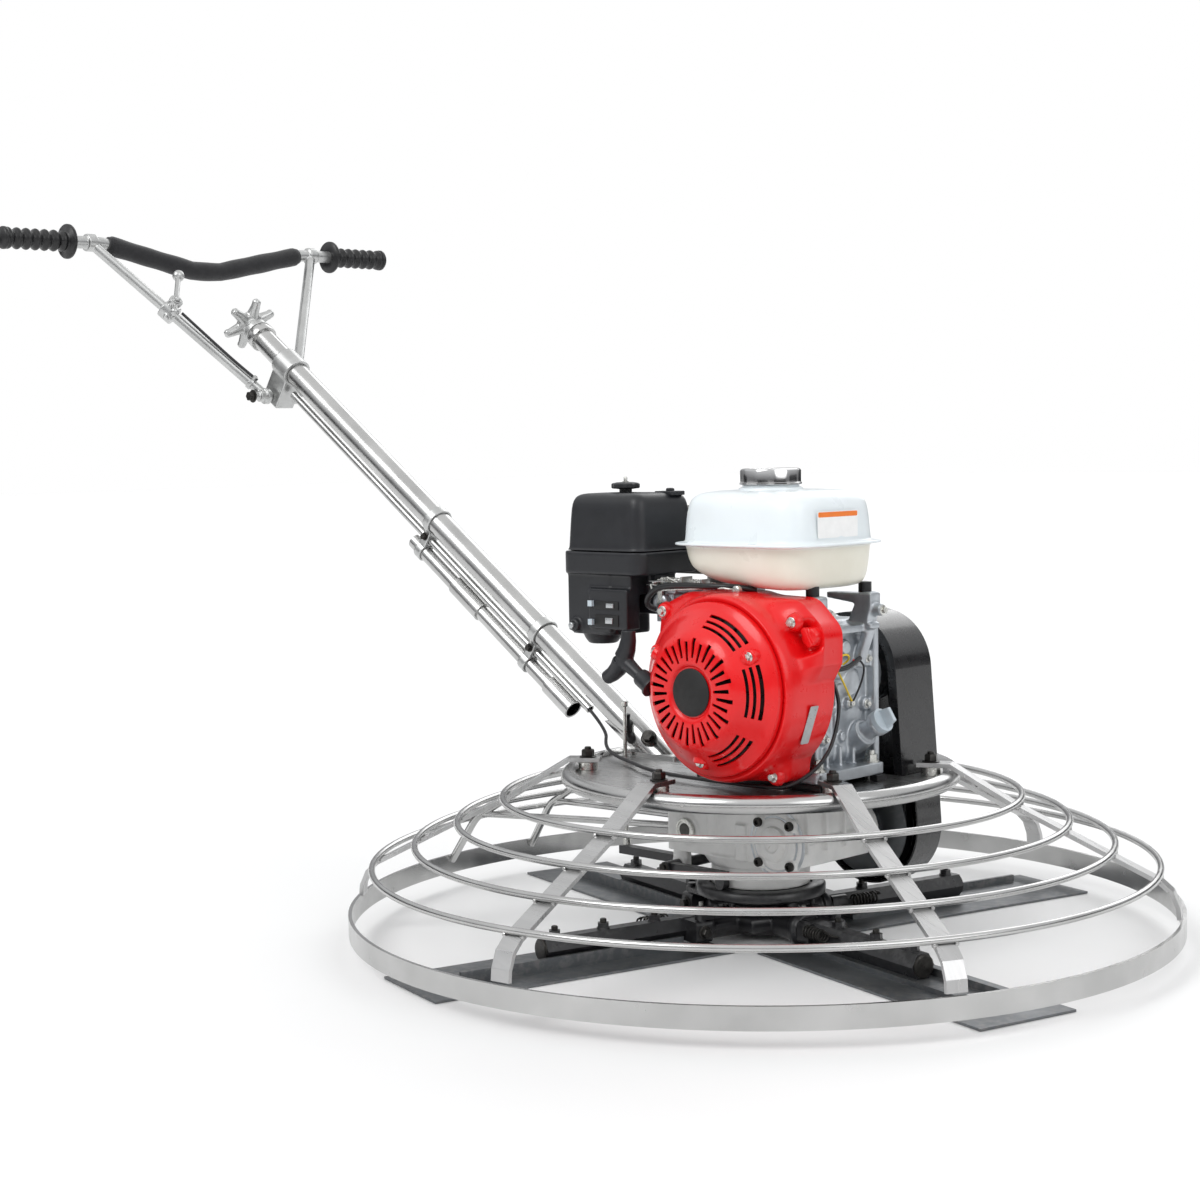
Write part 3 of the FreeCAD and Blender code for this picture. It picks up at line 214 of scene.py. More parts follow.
def tank_finish():
    """Moulded translucent plastic: a cooler, cleaner upper half over a warmer lower one."""
    item = finish("tank_plastic", (0.80, 0.855, 0.88), 0.32, vary=0.03, size=9.0, bump=0.10, grain=60.0,
        depth=0.0008, subsurface_weight=0.12, coat_weight=0.25, coat_roughness=0.2)
    tree = item.node_tree
    base = tree.nodes["Principled BSDF"]
    base.inputs["Subsurface Radius"].default_value = (0.012, 0.012, 0.014)
    place = tree.nodes.new("ShaderNodeTexCoord")
    parts = tree.nodes.new("ShaderNodeSeparateXYZ")
    link(tree, place.outputs["Object"], parts.inputs["Vector"])
    level = tree.nodes.new("ShaderNodeMapRange")
    level.inputs["From Min"].default_value = 0.556
    level.inputs["From Max"].default_value = 0.561
    link(tree, parts.outputs["Z"], level.inputs["Value"])
    upper = base.inputs["Base Color"].links[0].from_socket
    lower = ramp(tree, noise(tree, 12.0, 4.0), [(0.3, (0.74, 0.71, 0.60)), (0.7, (0.82, 0.80, 0.70))])
    link(tree, mixed(tree, level.outputs["Result"], lower, upper), base.inputs["Base Color"])
    return item


TANK = tank_finish()


# ---------------- mesh tools, in millimetres

def placed(at=(0, 0, 0), way=UP, spin=0.0):
    """A placement at a point, with its Z axis along way."""
    turn = Vector(way).to_track_quat("Z", "Y").to_matrix().to_4x4()
    return Matrix.Translation(Vector(at)) @ turn @ Matrix.Rotation(spin, 4, "Z")


def facing_right(level):
    """A placement for an outline of (x, z) points that is raised toward -Y from this level."""
    return Matrix(((1, 0, 0, 0), (0, 0, -1, level), (0, 1, 0, 0), (0, 0, 0, 1)))


def polar(radius, turn, level=0.0):
    return Vector((radius * math.cos(turn), radius * math.sin(turn), level))


def ease(value, low, high):
    """A smooth step from 0 at low to 1 at high."""
    share = min(1.0, max(0.0, (value - low) / (high - low)))
    return share * share * (3 - 2 * share)


def corner_loop(low, high, radius, steps=6):
    """A rounded rectangle's outline, anticlockwise from its right-hand side."""
    loop = []
    centres = ((high[0] - radius, high[1] - radius), (low[0] + radius, high[1] - radius),
        (low[0] + radius, low[1] + radius), (high[0] - radius, low[1] + radius))
    for quarter, (x, y) in enumerate(centres):
        for step in range(steps + 1):
            turn = (quarter + step / steps) * FULL / 4
            loop.append((x + radius * math.cos(turn), y + radius * math.sin(turn)))
    return loop


class Shape:
    """One piece in the making."""

    def __init__(self):
        self.mesh = bmesh.new()

    def skin(self, rings, start=True, end=True, gaps=None):
        """Quads between rings of as many points each, with a face over each end where asked."""
        loops = [[self.mesh.verts.new(point) for point in ring] for ring in rings]
        count = len(loops[0])
        for row, (near, far) in enumerate(zip(loops, loops[1:])):
            for step in range(count):
                if gaps and gaps(row, step):
                    continue
                ahead = (step + 1) % count
                self.mesh.faces.new((near[step], near[ahead], far[ahead], far[step]))
        if start:
            self.mesh.faces.new(loops[0][::-1])
        if end:
            self.mesh.faces.new(loops[-1])
        return self

    def lathe(self, profile, at=(0, 0, 0), way=UP, sides=48, flute=None):
        """A turned form from (radius, height) points; flute(turn) scales the radius round it."""
        place = placed(at, way)
        rings = []
        for radius, level in profile:
            ring = []
            for step in range(sides):
                turn = FULL * step / sides
                scale = flute(turn) if flute and radius > 1 else 1.0
                ring.append(place @ polar(max(radius, 0.02) * scale, turn, level))
            rings.append(ring)
        return self.skin(rings)

    def slab(self, outline, low, high, place=Matrix()):
        """An outline of (x, y) points raised from low to high."""
        return self.skin([[place @ Vector((x, y, level)) for x, y in outline] for level in (low, high)])

    def box(self, low, high, place=Matrix(), edge=0.0):
        """A box, with its upright edges rounded where edge is given."""
        if edge:
            outline = corner_loop(low[:2], high[:2], edge)
        else:
            outline = [(low[0], low[1]), (high[0], low[1]), (high[0], high[1]), (low[0], high[1])]
        return self.slab(outline, low[2], high[2], place)

    def rod(self, points, radius, sides=14):
        """A round bar along points, of one radius or of radius(share) along it."""
        line = [Vector(point) for point in points]
        side = (line[1] - line[0]).normalized().orthogonal().normalized()
        rings = []
        for index, point in enumerate(line):
            before = line[max(index - 1, 0)]
            after = line[min(index + 1, len(line) - 1)]
            way = (after - before).normalized()
            side = (side - way * side.dot(way)).normalized()
            other = way.cross(side)
            scale = radius(index / (len(line) - 1)) if callable(radius) else radius
            turns = [FULL * step / sides for step in range(sides)]
            rings.append([point + side * (scale * math.cos(turn)) + other * (scale * math.sin(turn))
                for turn in turns])
        return self.skin(rings)

    def hexagon(self, at, way, flats, tall, spin=0.0):
        """A hexagon head with its corners turned off."""
        place = placed(at, way, spin)
        reach = flats / math.sqrt(3)
        rings = []
        for scale, level in ((0.93, 0.0), (1.0, tall * 0.08), (1.0, tall * 0.82), (0.86, tall)):
            rings.append([place @ polar(reach * scale, FULL * step / 6, level) for step in range(6)])
        return self.skin(rings)

    def bolt(self, at, way, flats, spin=0.0, stub=0.0):
        """A washer, a hexagon head and, where asked, the threaded end above it."""
        self.lathe([(flats * 0.72, 0), (flats * 0.76, 0.3), (flats * 0.76, 1.2), (flats * 0.70, 1.6)], at, way,
            28)
        top = Vector(at) + Vector(way).normalized() * 1.6
        self.hexagon(top, way, flats, flats * 0.6, spin)
        if stub:
            self.lathe([(flats * 0.30, 0), (flats * 0.30, flats * 0.6 + stub - 1),
                (flats * 0.24, flats * 0.6 + stub)], top, way, 20)
        return self

    def screw(self, at, way, radius):
        """A flanged hexagon screw."""
        self.lathe([(radius * 1.45, 0), (radius * 1.45, 0.9), (radius * 1.1, 1.8)], at, way, 28)
        top = Vector(at) + Vector(way).normalized() * 1.4
        self.hexagon(top, way, radius * 1.75, radius * 0.95)
        self.lathe([(radius * 0.30, radius * 0.9), (radius * 0.22, radius * 1.05)], top, way, 16)
        return self

    def spring(self, at, way, radius, wire, turns, length, sides=8):
        place = placed(at, way)
        steps = int(turns * 16)
        points = [place @ polar(radius, FULL * turns * step / steps, length * step / steps)
            for step in range(steps + 1)]
        return self.rod(points, wire, sides)

    def take(self, *nodes):
        """Adds the shape of these CAD nodes."""
        for name in nodes:
            copy = frame["nodes"][name].data.copy()
            copy.transform(Matrix.Scale(1 / MM, 4))
            self.mesh.from_mesh(copy)
            bpy.data.meshes.remove(copy)
        bmesh.ops.remove_doubles(self.mesh, verts=self.mesh.verts[:], dist=0.0005)
        return self

    def piece(self, name, look, stands_for=(), body="frame", slot=None, voxel=0.0, soften=0, keep=1.0,
            wall=0.0, divide=0, edge=0.0, crease=35.0, face_out=True):
        """Turns the shape into a piece of the model that rides on a CAD body."""
        if face_out:
            bmesh.ops.recalc_face_normals(self.mesh, faces=self.mesh.faces[:])
        mesh = bpy.data.meshes.new(name)
        self.mesh.to_mesh(mesh)
        self.mesh.free()
        mesh.transform(Matrix.Scale(MM, 4))
        item = added(name, mesh)
        if edge:
            cut = item.modifiers.new("edge", "BEVEL")
            cut.width = edge * MM
            cut.segments = 2
            cut.limit_method = "ANGLE"
            cut.angle_limit = math.radians(40)
        if wall:
            thick = item.modifiers.new("wall", "SOLIDIFY")
            thick.thickness = wall * MM
            thick.offset = -1.0
            thick.use_even_offset = True
        if divide:
            smooth = item.modifiers.new("divide", "SUBSURF")
            smooth.levels = divide
            smooth.render_levels = divide
        if voxel:
            cast = item.modifiers.new("cast", "REMESH")
            cast.mode = "VOXEL"
            cast.voxel_size = voxel * MM
        if soften:
            relax = item.modifiers.new("relax", "SMOOTH")
            relax.factor = 0.5
            relax.iterations = soften
        if keep < 1.0:
            lighter = item.modifiers.new("lighter", "DECIMATE")
            lighter.ratio = keep
        if item.modifiers:
            graph = bpy.context.evaluated_depsgraph_get()
            final = bpy.data.meshes.new_from_object(item.evaluated_get(graph))
            item.modifiers.clear()
            item.data = final
            final.name = name
        for polygon in item.data.polygons:
            polygon.use_smooth = True
        if not voxel:
            item.data.set_sharp_from_angle(angle=math.radians(crease))
        item.data.materials.clear()
        item.data.materials.append(look)
        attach(item, body)
        if stands_for:
            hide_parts(*stands_for)
        return item


def cable(name, body, points, radius, look, stands_for=()):
    """A lead or hose on one smooth NURBS line through its route, in millimetres."""
    curve = bpy.data.curves.new(name, "CURVE")
    curve.dimensions = "3D"
    curve.bevel_depth = radius * MM
    curve.bevel_resolution = 4
    curve.use_fill_caps = True
    line = curve.splines.new("NURBS")
    line.points.add(len(points) - 1)
    for spot, point in zip(line.points, points):
        spot.co = (*(Vector(point) * MM), 1.0)
    line.order_u = 3
    line.use_endpoint_u = True
    line.resolution_u = 12
    curve.materials.append(look)
    item = added(name, curve)
    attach(item, body)
    if stands_for:
        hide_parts(*stands_for)
    return item


# ---------------- finishes of the CAD nodes

LOOKS = {"bright_steel": STEEL, "raw_steel": MILL, "black_steel": BLACK, "white_cast": WHITE, "alloy": ALLOY,
    "red_paint": RED, "tank_white": TANK, "black_plastic": CHARCOAL, "red_plastic": RED, "grey_plastic": GREY,
    "rubber": RUBBER, "foam": FOAM, "fastener": ZINC, "silver": SILVER}
SPECIAL = {"belt_guard": GUARD_BLACK, "deck_plate": PLATE, "guard_straps": PLATE, "outer_band": STEEL,
    "fuel_cap": CHROME, "stop_wire": LEAD, "throttle_cable": LEAD, "muffler": EXHAUST, "drive_belt": RUBBER}
for part in frame["record"]["subparts"]:
    node_mesh = frame["nodes"][part["node"]].data
    node_mesh.materials.clear()
    node_mesh.materials.append(SPECIAL.get(part["node"], LOOKS[part["material_slot"]]))


# ---------------- starter cover and fan shroud

CRANK = Vector((100, 0, 376))
NEAR = -200


def about_crank(radius, turn, level):
    return Vector((CRANK.x + radius * math.cos(turn), level, CRANK.z + radius * math.sin(turn)))


def build_cover():
    """The dished starter cover with its ring of slots and three groups of louvres."""
    sides = 384
    slots = 32
    rows = [(0.02, 46.5), (33.5, 46.5), (35.5, 48.5), (38, 50), (41, 50.3), (46, 50.4), (67, 49.6), (72, 47.6),
        (78, 43), (81, 40), (84.5, 36.4), (87.5, 33.4), (91, 30), (94, 27), (97.5, 23.4), (101, 19.5),
        (105, 15.2), (109, 12), (112.5, 10.2), (114.5, 8.6), (115, 6), (115, 0.2)]
    louvre_turns = [math.radians(angle) for angle in (62, 2, -58)]
    louvre_rows = (10, 12, 14)
    louvre_half = math.radians(21)

    def slot_here(row, step):
        number, pitch = divmod(step, sides // slots)
        return 3 <= pitch <= 7 and row in ((4, 5) if number % 2 == 0 else (5, 6))

    def louvre_here(row, step):
        turn = FULL * (step + 0.5) / sides
        away = min(abs((turn - middle + math.pi) % FULL - math.pi) for middle in louvre_turns)
        return row in louvre_rows and away < louvre_half

    rings = [[about_crank(radius, FULL * step / sides, NEAR - level) for step in range(sides)]
        for radius, level in rows]
    Shape().skin(rings, end=False, gaps=lambda row, step: slot_here(row, step) or louvre_here(row,
        step)).piece("starter_cover", RED, ("recoil_cover",), wall=2.4, crease=32)

    # A near-black vaned disc behind the cover's slots and louvres: the fan screen, coloured as painted shade
    # so the inside of the cover reads dark.
    inside = Shape().lathe([(0, 0), (100, 0), (103, -2), (103, -3), (0, -3)], (100, NEAR - 12, 376), RIGHT, 64)
    for turn in range(24):
        angle = FULL * turn / 24
        inside.box((32, -1.1, 0), (96, 1.1, 5), placed((100, NEAR - 12, 376), RIGHT, angle))
    inside.piece("cover_inner_shade_screen", BADGE_AND_PAINTED_SHADE_BLACK)

    Shape().lathe([(0, 0), (30.5, 0), (31.5, 0.8), (31.5, 2.0), (30.3, 2.7), (0, 2.9)],
        (100, NEAR - 46.6, 376), RIGHT, 72).piece("blank_badge", BADGE_AND_PAINTED_SHADE_BLACK)

    lugs = Shape()
    heads = Shape()
    for angle in (31, 151, 267):
        turn = math.radians(angle)
        at = about_crank(95, turn, NEAR - 12)
        lugs.lathe([(11, 0), (10.4, 12), (9.4, 14.4), (6, 14.9), (0, 14.9)], at, RIGHT, 36)
        outward = Vector((math.cos(turn), 0, math.sin(turn)))
        inner = about_crank(80, turn, NEAR - 24)
        lugs.rod([inner, at + Vector((0, -12, 0))], lambda share: 10 + share * 1.5, 20)
        heads.screw(at + Vector((0, -14.6, 0)), RIGHT, 4.6)
    lugs.piece("cover_screw_lugs", RED, voxel=1.3, soften=5, keep=0.6)
    heads.piece("cover_screws", ZINC)


HOOD = ((-34, 404), (-26, 478), (24, 500), (120, 500), (120, 440), (10, 352))
CORNER = ((150, 400), (238, 398), (240, 456), (200, 494), (110, 496), (110, 420))
FOOT = ((104, 252), (182, 252), (182, 330), (104, 330))


def ray_reach(outline, turn):
    """How far a ray from the crank axis at this angle reaches in an outline of (x, z) points."""
    way = (math.cos(turn), math.sin(turn))
    best = 0.0
    for first, second in zip(outline, outline[1:] + outline[:1]):
        ax, az = first[0] - CRANK.x, first[1] - CRANK.z
        bx, bz = second[0] - first[0], second[1] - first[1]
        across = way[0] * bz - way[1] * bx
        if abs(across) < 1e-9:
            continue
        far = (ax * bz - az * bx) / across
        share = (ax * way[1] - az * way[0]) / across
        if 0 <= share <= 1 and far > best:
            best = far
    return best


def build_shroud():
    """The fan shroud: a round tunnel that swells into the hood, the switch corner and the foot."""
    sides = 360
    reaches = []
    hoods = []
    for step in range(sides):
        turn = FULL * step / sides
        hood = ray_reach(HOOD, turn)
        reaches.append(max(125.0, hood, ray_reach(CORNER, turn), ray_reach(FOOT, turn)))
        hoods.append(1.0 if hood > 125 and hood >= reaches[-1] - 0.01 and turn > 1.5 else 0.0)
    blur = 4
    window = range(-blur, blur + 1)
    reaches = [sum(reaches[(step + k) % sides] for k in window) / len(window) for step in range(sides)]
    hoods = [sum(hoods[(step + k) % sides] for k in window) / len(window) for step in range(sides)]

    rings = [[about_crank(radius, FULL * step / sides, NEAR + level) for step in range(sides)]
        for radius, level in ((112, 1.2), (117.5, 0.6), (119.5, -0.8), (121, -0.6), (122.2, 1.6), (124, 6),
        (125, 12))]
    for share in (0.0, 0.12, 0.25, 0.4, 0.55, 0.7, 0.85, 0.95, 1.0):
        ring = []
        for step in range(sides):
            recess = 1.0 - ease(abs(360 * step / sides - 30.2), 6.0, 10.0)
            swell = ease(share, 0.4 * recess, 1.0)
            start = -178 - 8 * hoods[step]
            stop = -146 - 20 * hoods[step]
            level = start + (stop - start) * (share + (ease(share, 0.0, 0.45) - share) * recess)
            radius = 125 + (reaches[step] - 125) * swell
            ring.append(about_crank(radius, FULL * step / sides, level))
        rings.append(ring)
    for inset, level in ((-0.6, -142), (-0.8, -126), (-0.8, -112), (0.4, -110.5), (0.4, -108.2)):
        rings.append([about_crank(max(125.2, reaches[step] + inset), FULL * step / sides, level)
            for step in range(sides)])
    Shape().skin(rings, start=False, end=False).piece("fan_shroud_shell", RED, ("fan_shroud",), wall=2.4,
        divide=1, crease=50)

    heads = Shape()
    bosses = Shape()
    for x, z, level in ((204, 466, -160), (168, 262, -157), (-14, 472, -170)):
        bosses.lathe([(13, 0), (11, 7), (8.5, 9.4), (0, 9.4)], (x, level, z), RIGHT, 32)
        heads.screw((x, level - 9.2, z), RIGHT, 5.0)
    bosses.piece("shroud_screw_bosses", RED, edge=0.6)
    heads.piece("shroud_screws", ZINC)

    # A near-black slab over the clip's pocket: painted shade in the recess.
    Shape().slab([(-27, 455), (-6, 459), (4, 466), (-4, 472), (-26, 469)], 0, 2.2,
        facing_right(-166.2)).piece("hood_clip_pocket_shade", BADGE_AND_PAINTED_SHADE_BLACK, edge=0.5)
    clip = Shape().rod([(-24, -169.2, 466), (-20, -169.6, 462.5), (-10, -169.6, 464.5), (-5, -169.2, 468.5)],
        1.5, 10)
    clip.lathe([(3.6, 0), (3.6, 1.6), (0, 2)], (-23, -168.4, 466), RIGHT, 20)
    clip.piece("hood_clip", ZINC)

    label = Shape()
    label.slab(corner_loop((-29, 398), (-17, 442), 2, 3), 0, 0.5, facing_right(-166.3))
    label.piece("hood_blank_label", LABEL)

    side = Shape()
    turn = math.radians(-20)
    place = Matrix.Translation(about_crank(125.6, turn, -152)) @ Matrix.Rotation(-turn, 4,
        "Y") @ Matrix.Rotation(math.pi / 2, 4, "Y")
    side.slab(corner_loop((-27, -8), (27, 8), 2, 3), 0, 0.5, place)
    side.piece("shroud_blank_label", LABEL_FOIL)


# ---------------- tank

FILLER = (84, -66)
TANK_LABEL_AT = 198.4


def build_tank():
    """A moulded tank in two drafted halves that meet at a lip, cut away under its carburettor end."""
    low = (-27.0, -160.0)
    high = (205.0, 42.0)
    rows = [(502.2, 34), (502.8, 26), (506, 17), (513, 11.5), (528, 8.6), (546, 7), (557, 6), (559.6, 5.6),
        (560.2, -5.5), (561.2, -6.6), (563.2, -6.6), (564.2, -5.5), (564.8, 4.6), (568, 5.4), (590, 6.6),
        (609, 8.6), (619, 11.5), (626, 16.5), (630.4, 25), (632.8, 38), (634.0, 56)]
    rings = []
    for level, inset in rows:
        radius = 44 - min(inset, 26) * 0.45
        ring = []
        for x, y in corner_loop((low[0] + inset, low[1] + inset), (high[0] - inset, high[1] - inset), radius,
                2):
            up = level
            if level < 559:
                lift = 1.0 - 0.62 * (1.0 - ease(x, -30, 62))
                up = 559 - (559 - level) * lift
            ring.append(Vector((x, y, up)))
        rings.append(ring)
    Shape().skin(rings).piece("tank_shell", TANK, ("fuel_tank",), divide=2, crease=60)

    Shape().lathe([(44, 0), (43, 2.5), (40, 4), (38.5, 4.6), (38.5, 6.2), (34, 6.2), (0, 6.2)],
        (*FILLER, 633.4), UP, 64).piece("tank_neck", TANK)

    Shape().lathe([(0, 0.0), (41.5, 0), (42.3, 0.8), (42.3, 2.6), (41.2, 3.4), (41.2, 18.6), (40.2, 20.6),
        (38, 21.7), (35, 22), (33.5, 21.2), (14, 20.6), (12, 21.4), (0, 21.4)], (*FILLER, 640.3), UP, 144,
        flute=lambda turn: 1.0 - 0.012 * (0.5 + 0.5 * math.cos(12 * turn))).piece("tank_cap_ribbed", CHROME,
        ("fuel_cap",), body="tank_cap")

    face = Matrix(((0, 0, 1, TANK_LABEL_AT), (1, 0, 0, 0), (0, 1, 0, 0), (0, 0, 0, 1)))
    Shape().slab(corner_loop((-107, 571), (-24, 606), 2, 3), 0, 0.5, face).piece("tank_blank_label", LABEL)
    Shape().slab(corner_loop((-106, 598.4), (-25, 605), 1.5, 3), 0.5, 0.8, face).piece("tank_label_band",
        ORANGE)

    bolts = Shape()
    for x, y, z in ((186, -94, 493), (186, 17, 493)):
        bolts.lathe([(9, 0), (9, 14), (0, 15)], (x - 8, y, z), UP, 28)
    bolts.piece("tank_mount_bushes", RUBBER)


# ---------------- air cleaner and fuel system

def build_air_cleaner():
    """The air cleaner's lid, its base with the two lever slots drawn as near-black boxes of painted shade, and
    the wing knob.
    """
    cover = Shape()
    rows = [(549.4, -1.5), (551, -1.5), (552.5, 0.4), (556, 0.8), (600, 3.2), (616, 5.0), (624, 8.5),
        (628.2, 13.5), (630, 21), (630.2, 34)]
    rings = [[Vector((x, y, level)) for x, y in corner_loop((-212 + inset, -174 + inset),
        (-62 - inset, -54 - inset), 20 - min(inset, 14) * 0.5, 5)] for level, inset in rows]
    cover.skin(rings)
    cover.piece("air_cleaner_lid", CHARCOAL, ("air_cleaner_cover",), divide=1, crease=60)

    lid = Shape().lathe([(0, 0), (24, 0), (23, 2.6), (20, 3.6), (0, 3.6)], (-144, -114, 626.6), UP, 48)
    lid.box((-104, -100, 626), (-66, -72, 631.8), edge=6)
    lid.lathe([(6, 0), (6, 4), (4, 5), (0, 5)], (-84, -86, 631), UP, 24)
    lid.piece("air_cleaner_lid_seat", CHARCOAL, edge=0.8)

    base = Shape()
    base.take("air_cleaner_body")
    base.box((-208, -170.5, 436), (-122, -160, 516), edge=3)
    base.box((-160, -177, 442), (-84, -150, 498), edge=2)
    base.box((-150, -169, 490), (-84, -120, 520), edge=3)
    base.lathe([(10, 0), (9, 12), (0, 12)], (-190, -166, 444), RIGHT, 28)
    base.lathe([(30, 0), (26, 10), (20, 18), (0, 18)], (-182, -126, 434), (0, 0, -1), 40)
    base.piece("air_cleaner_base", CHARCOAL, ("air_cleaner_body",), voxel=1.8, soften=4, keep=0.6)

    # Near-black boxes on the base's face: painted shade standing for the lever slots.
    window = Shape()
    window.box((-146, -178.2, 469), (-100, -176.6, 481))
    window.box((-146, -178.2, 446), (-100, -176.6, 462))
    window.piece("lever_slot_shade", BADGE_AND_PAINTED_SHADE_BLACK, edge=0.5)
    tabs = Shape()
    tabs.box((-122, -180.4, 472), (-108, -178, 478), edge=1.2)
    tabs.box((-124, -180.4, 450), (-110, -178, 458), edge=1.2)
    tabs.lathe([(4.6, 0), (4.6, 3), (3, 4), (0, 4)], (-192, -178, 444), RIGHT, 20)
    tabs.piece("lever_marks", LABEL_FOIL, edge=0.5)

    Shape().lathe([(0, 0), (9, 0), (9, 4.5), (19, 5.6), (20.4, 7), (20.4, 11.4), (19, 13), (12, 14.4),
        (0, 14.8)], (-144, -114, 630.4), UP, 96,
        flute=lambda turn: 1.0 - 0.10 * (0.5 + 0.5 * math.cos(6 * turn)) ** 2).piece("air_cleaner_wing_knob",
        CHARCOAL, ("air_cleaner_knob",), body="filter_knob")
    stud = Shape().lathe([(2.6, 0), (2.6, 7), (2.0, 8), (0, 8)], (-144, -114, 644.6), UP, 18)
    stud.lathe([(4.4, 0), (4.4, 1.6), (0, 2)], (-144, -114, 644.4), UP, 18)
    stud.piece("air_cleaner_stud", ZINC, body="filter_knob")


def build_fuel_system():
    """The carburettor with the control plate, springs and rods above it, and the breather hose."""
    body = Shape().take("carburettor")
    body.lathe([(19, 0), (19, 16), (15, 20), (0, 20)], (-54, -110, 448), (0, 0, -1), 40)
    body.lathe([(14, 0), (14, 10), (10, 12), (0, 12)], (-54, -132, 478), RIGHT, 32)
    body.box((-68, -136, 492), (-30, -92, 503), edge=4)
    body.lathe([(7, 0), (7, 9), (0, 10)], (-62, -128, 500), UP, 24)
    body.lathe([(6, 0), (6, 8), (0, 9)], (-40, -118, 500), UP, 24)
    body.piece("carburettor_body", ALLOY, ("carburettor",), voxel=1.1, soften=3, keep=0.6)

    plate = Shape()
    plate.slab([(-72, -150), (-30, -158), (4, -152), (40, -140), (56, -120), (30, -112), (-10, -120),
        (-40, -118), (-70, -128)], 503.2, 505)
    plate.slab([(-62, -156), (-44, -160), (-36, -150), (-50, -140)], 509, 510.6)
    plate.box((-8, -150, 504), (-5, -128, 517))
    plate.box((22, -142, 504), (25, -126, 514))
    plate.piece("control_plate", SILVER, edge=0.4)
    bits = Shape()
    for x, y, z in ((-56, -150, 505), (-22, -148, 505), (12, -142, 505), (34, -130, 505), (-40, -126, 505)):
        bits.screw((x, y, z), UP, 3.6)
    bits.spring((-46, -146, 512), (1, 0.1, -0.02), 3.2, 0.7, 12, 34)
    bits.spring((0, -140, 511), (1, 0.35, -0.05), 2.8, 0.6, 10, 26)
    bits.rod([(-30, -152, 516), (-6, -152, 508), (40, -146, 507)], 1.3, 8)
    bits.piece("control_screws_and_springs", ZINC)

    rod = Shape().rod([(-48, -166, 506), (-44, -168, 500.5), (-36, -168.5, 499), (40, -168.8, 504),
        (88, -168, 506), (96, -166, 505), (98, -160, 504)], 1.5, 10)
    rod.lathe([(5, -4), (6.5, -3), (6.5, 3), (5, 4)], (104, -160, 503), RIGHT, 28)
    rod.piece("governor_rod", ZINC)

    hose = [(-64, -138, 470), (-60, -160, 474), (-50, -172, 488), (-30, -174, 503), (0, -172.5, 507.5),
        (40, -172, 508), (80, -168, 508), (104, -150, 507), (112, -132, 502)]
    cable("breather_hose", "frame", hose, 4.2, RUBBER)


# ---------------- engine block

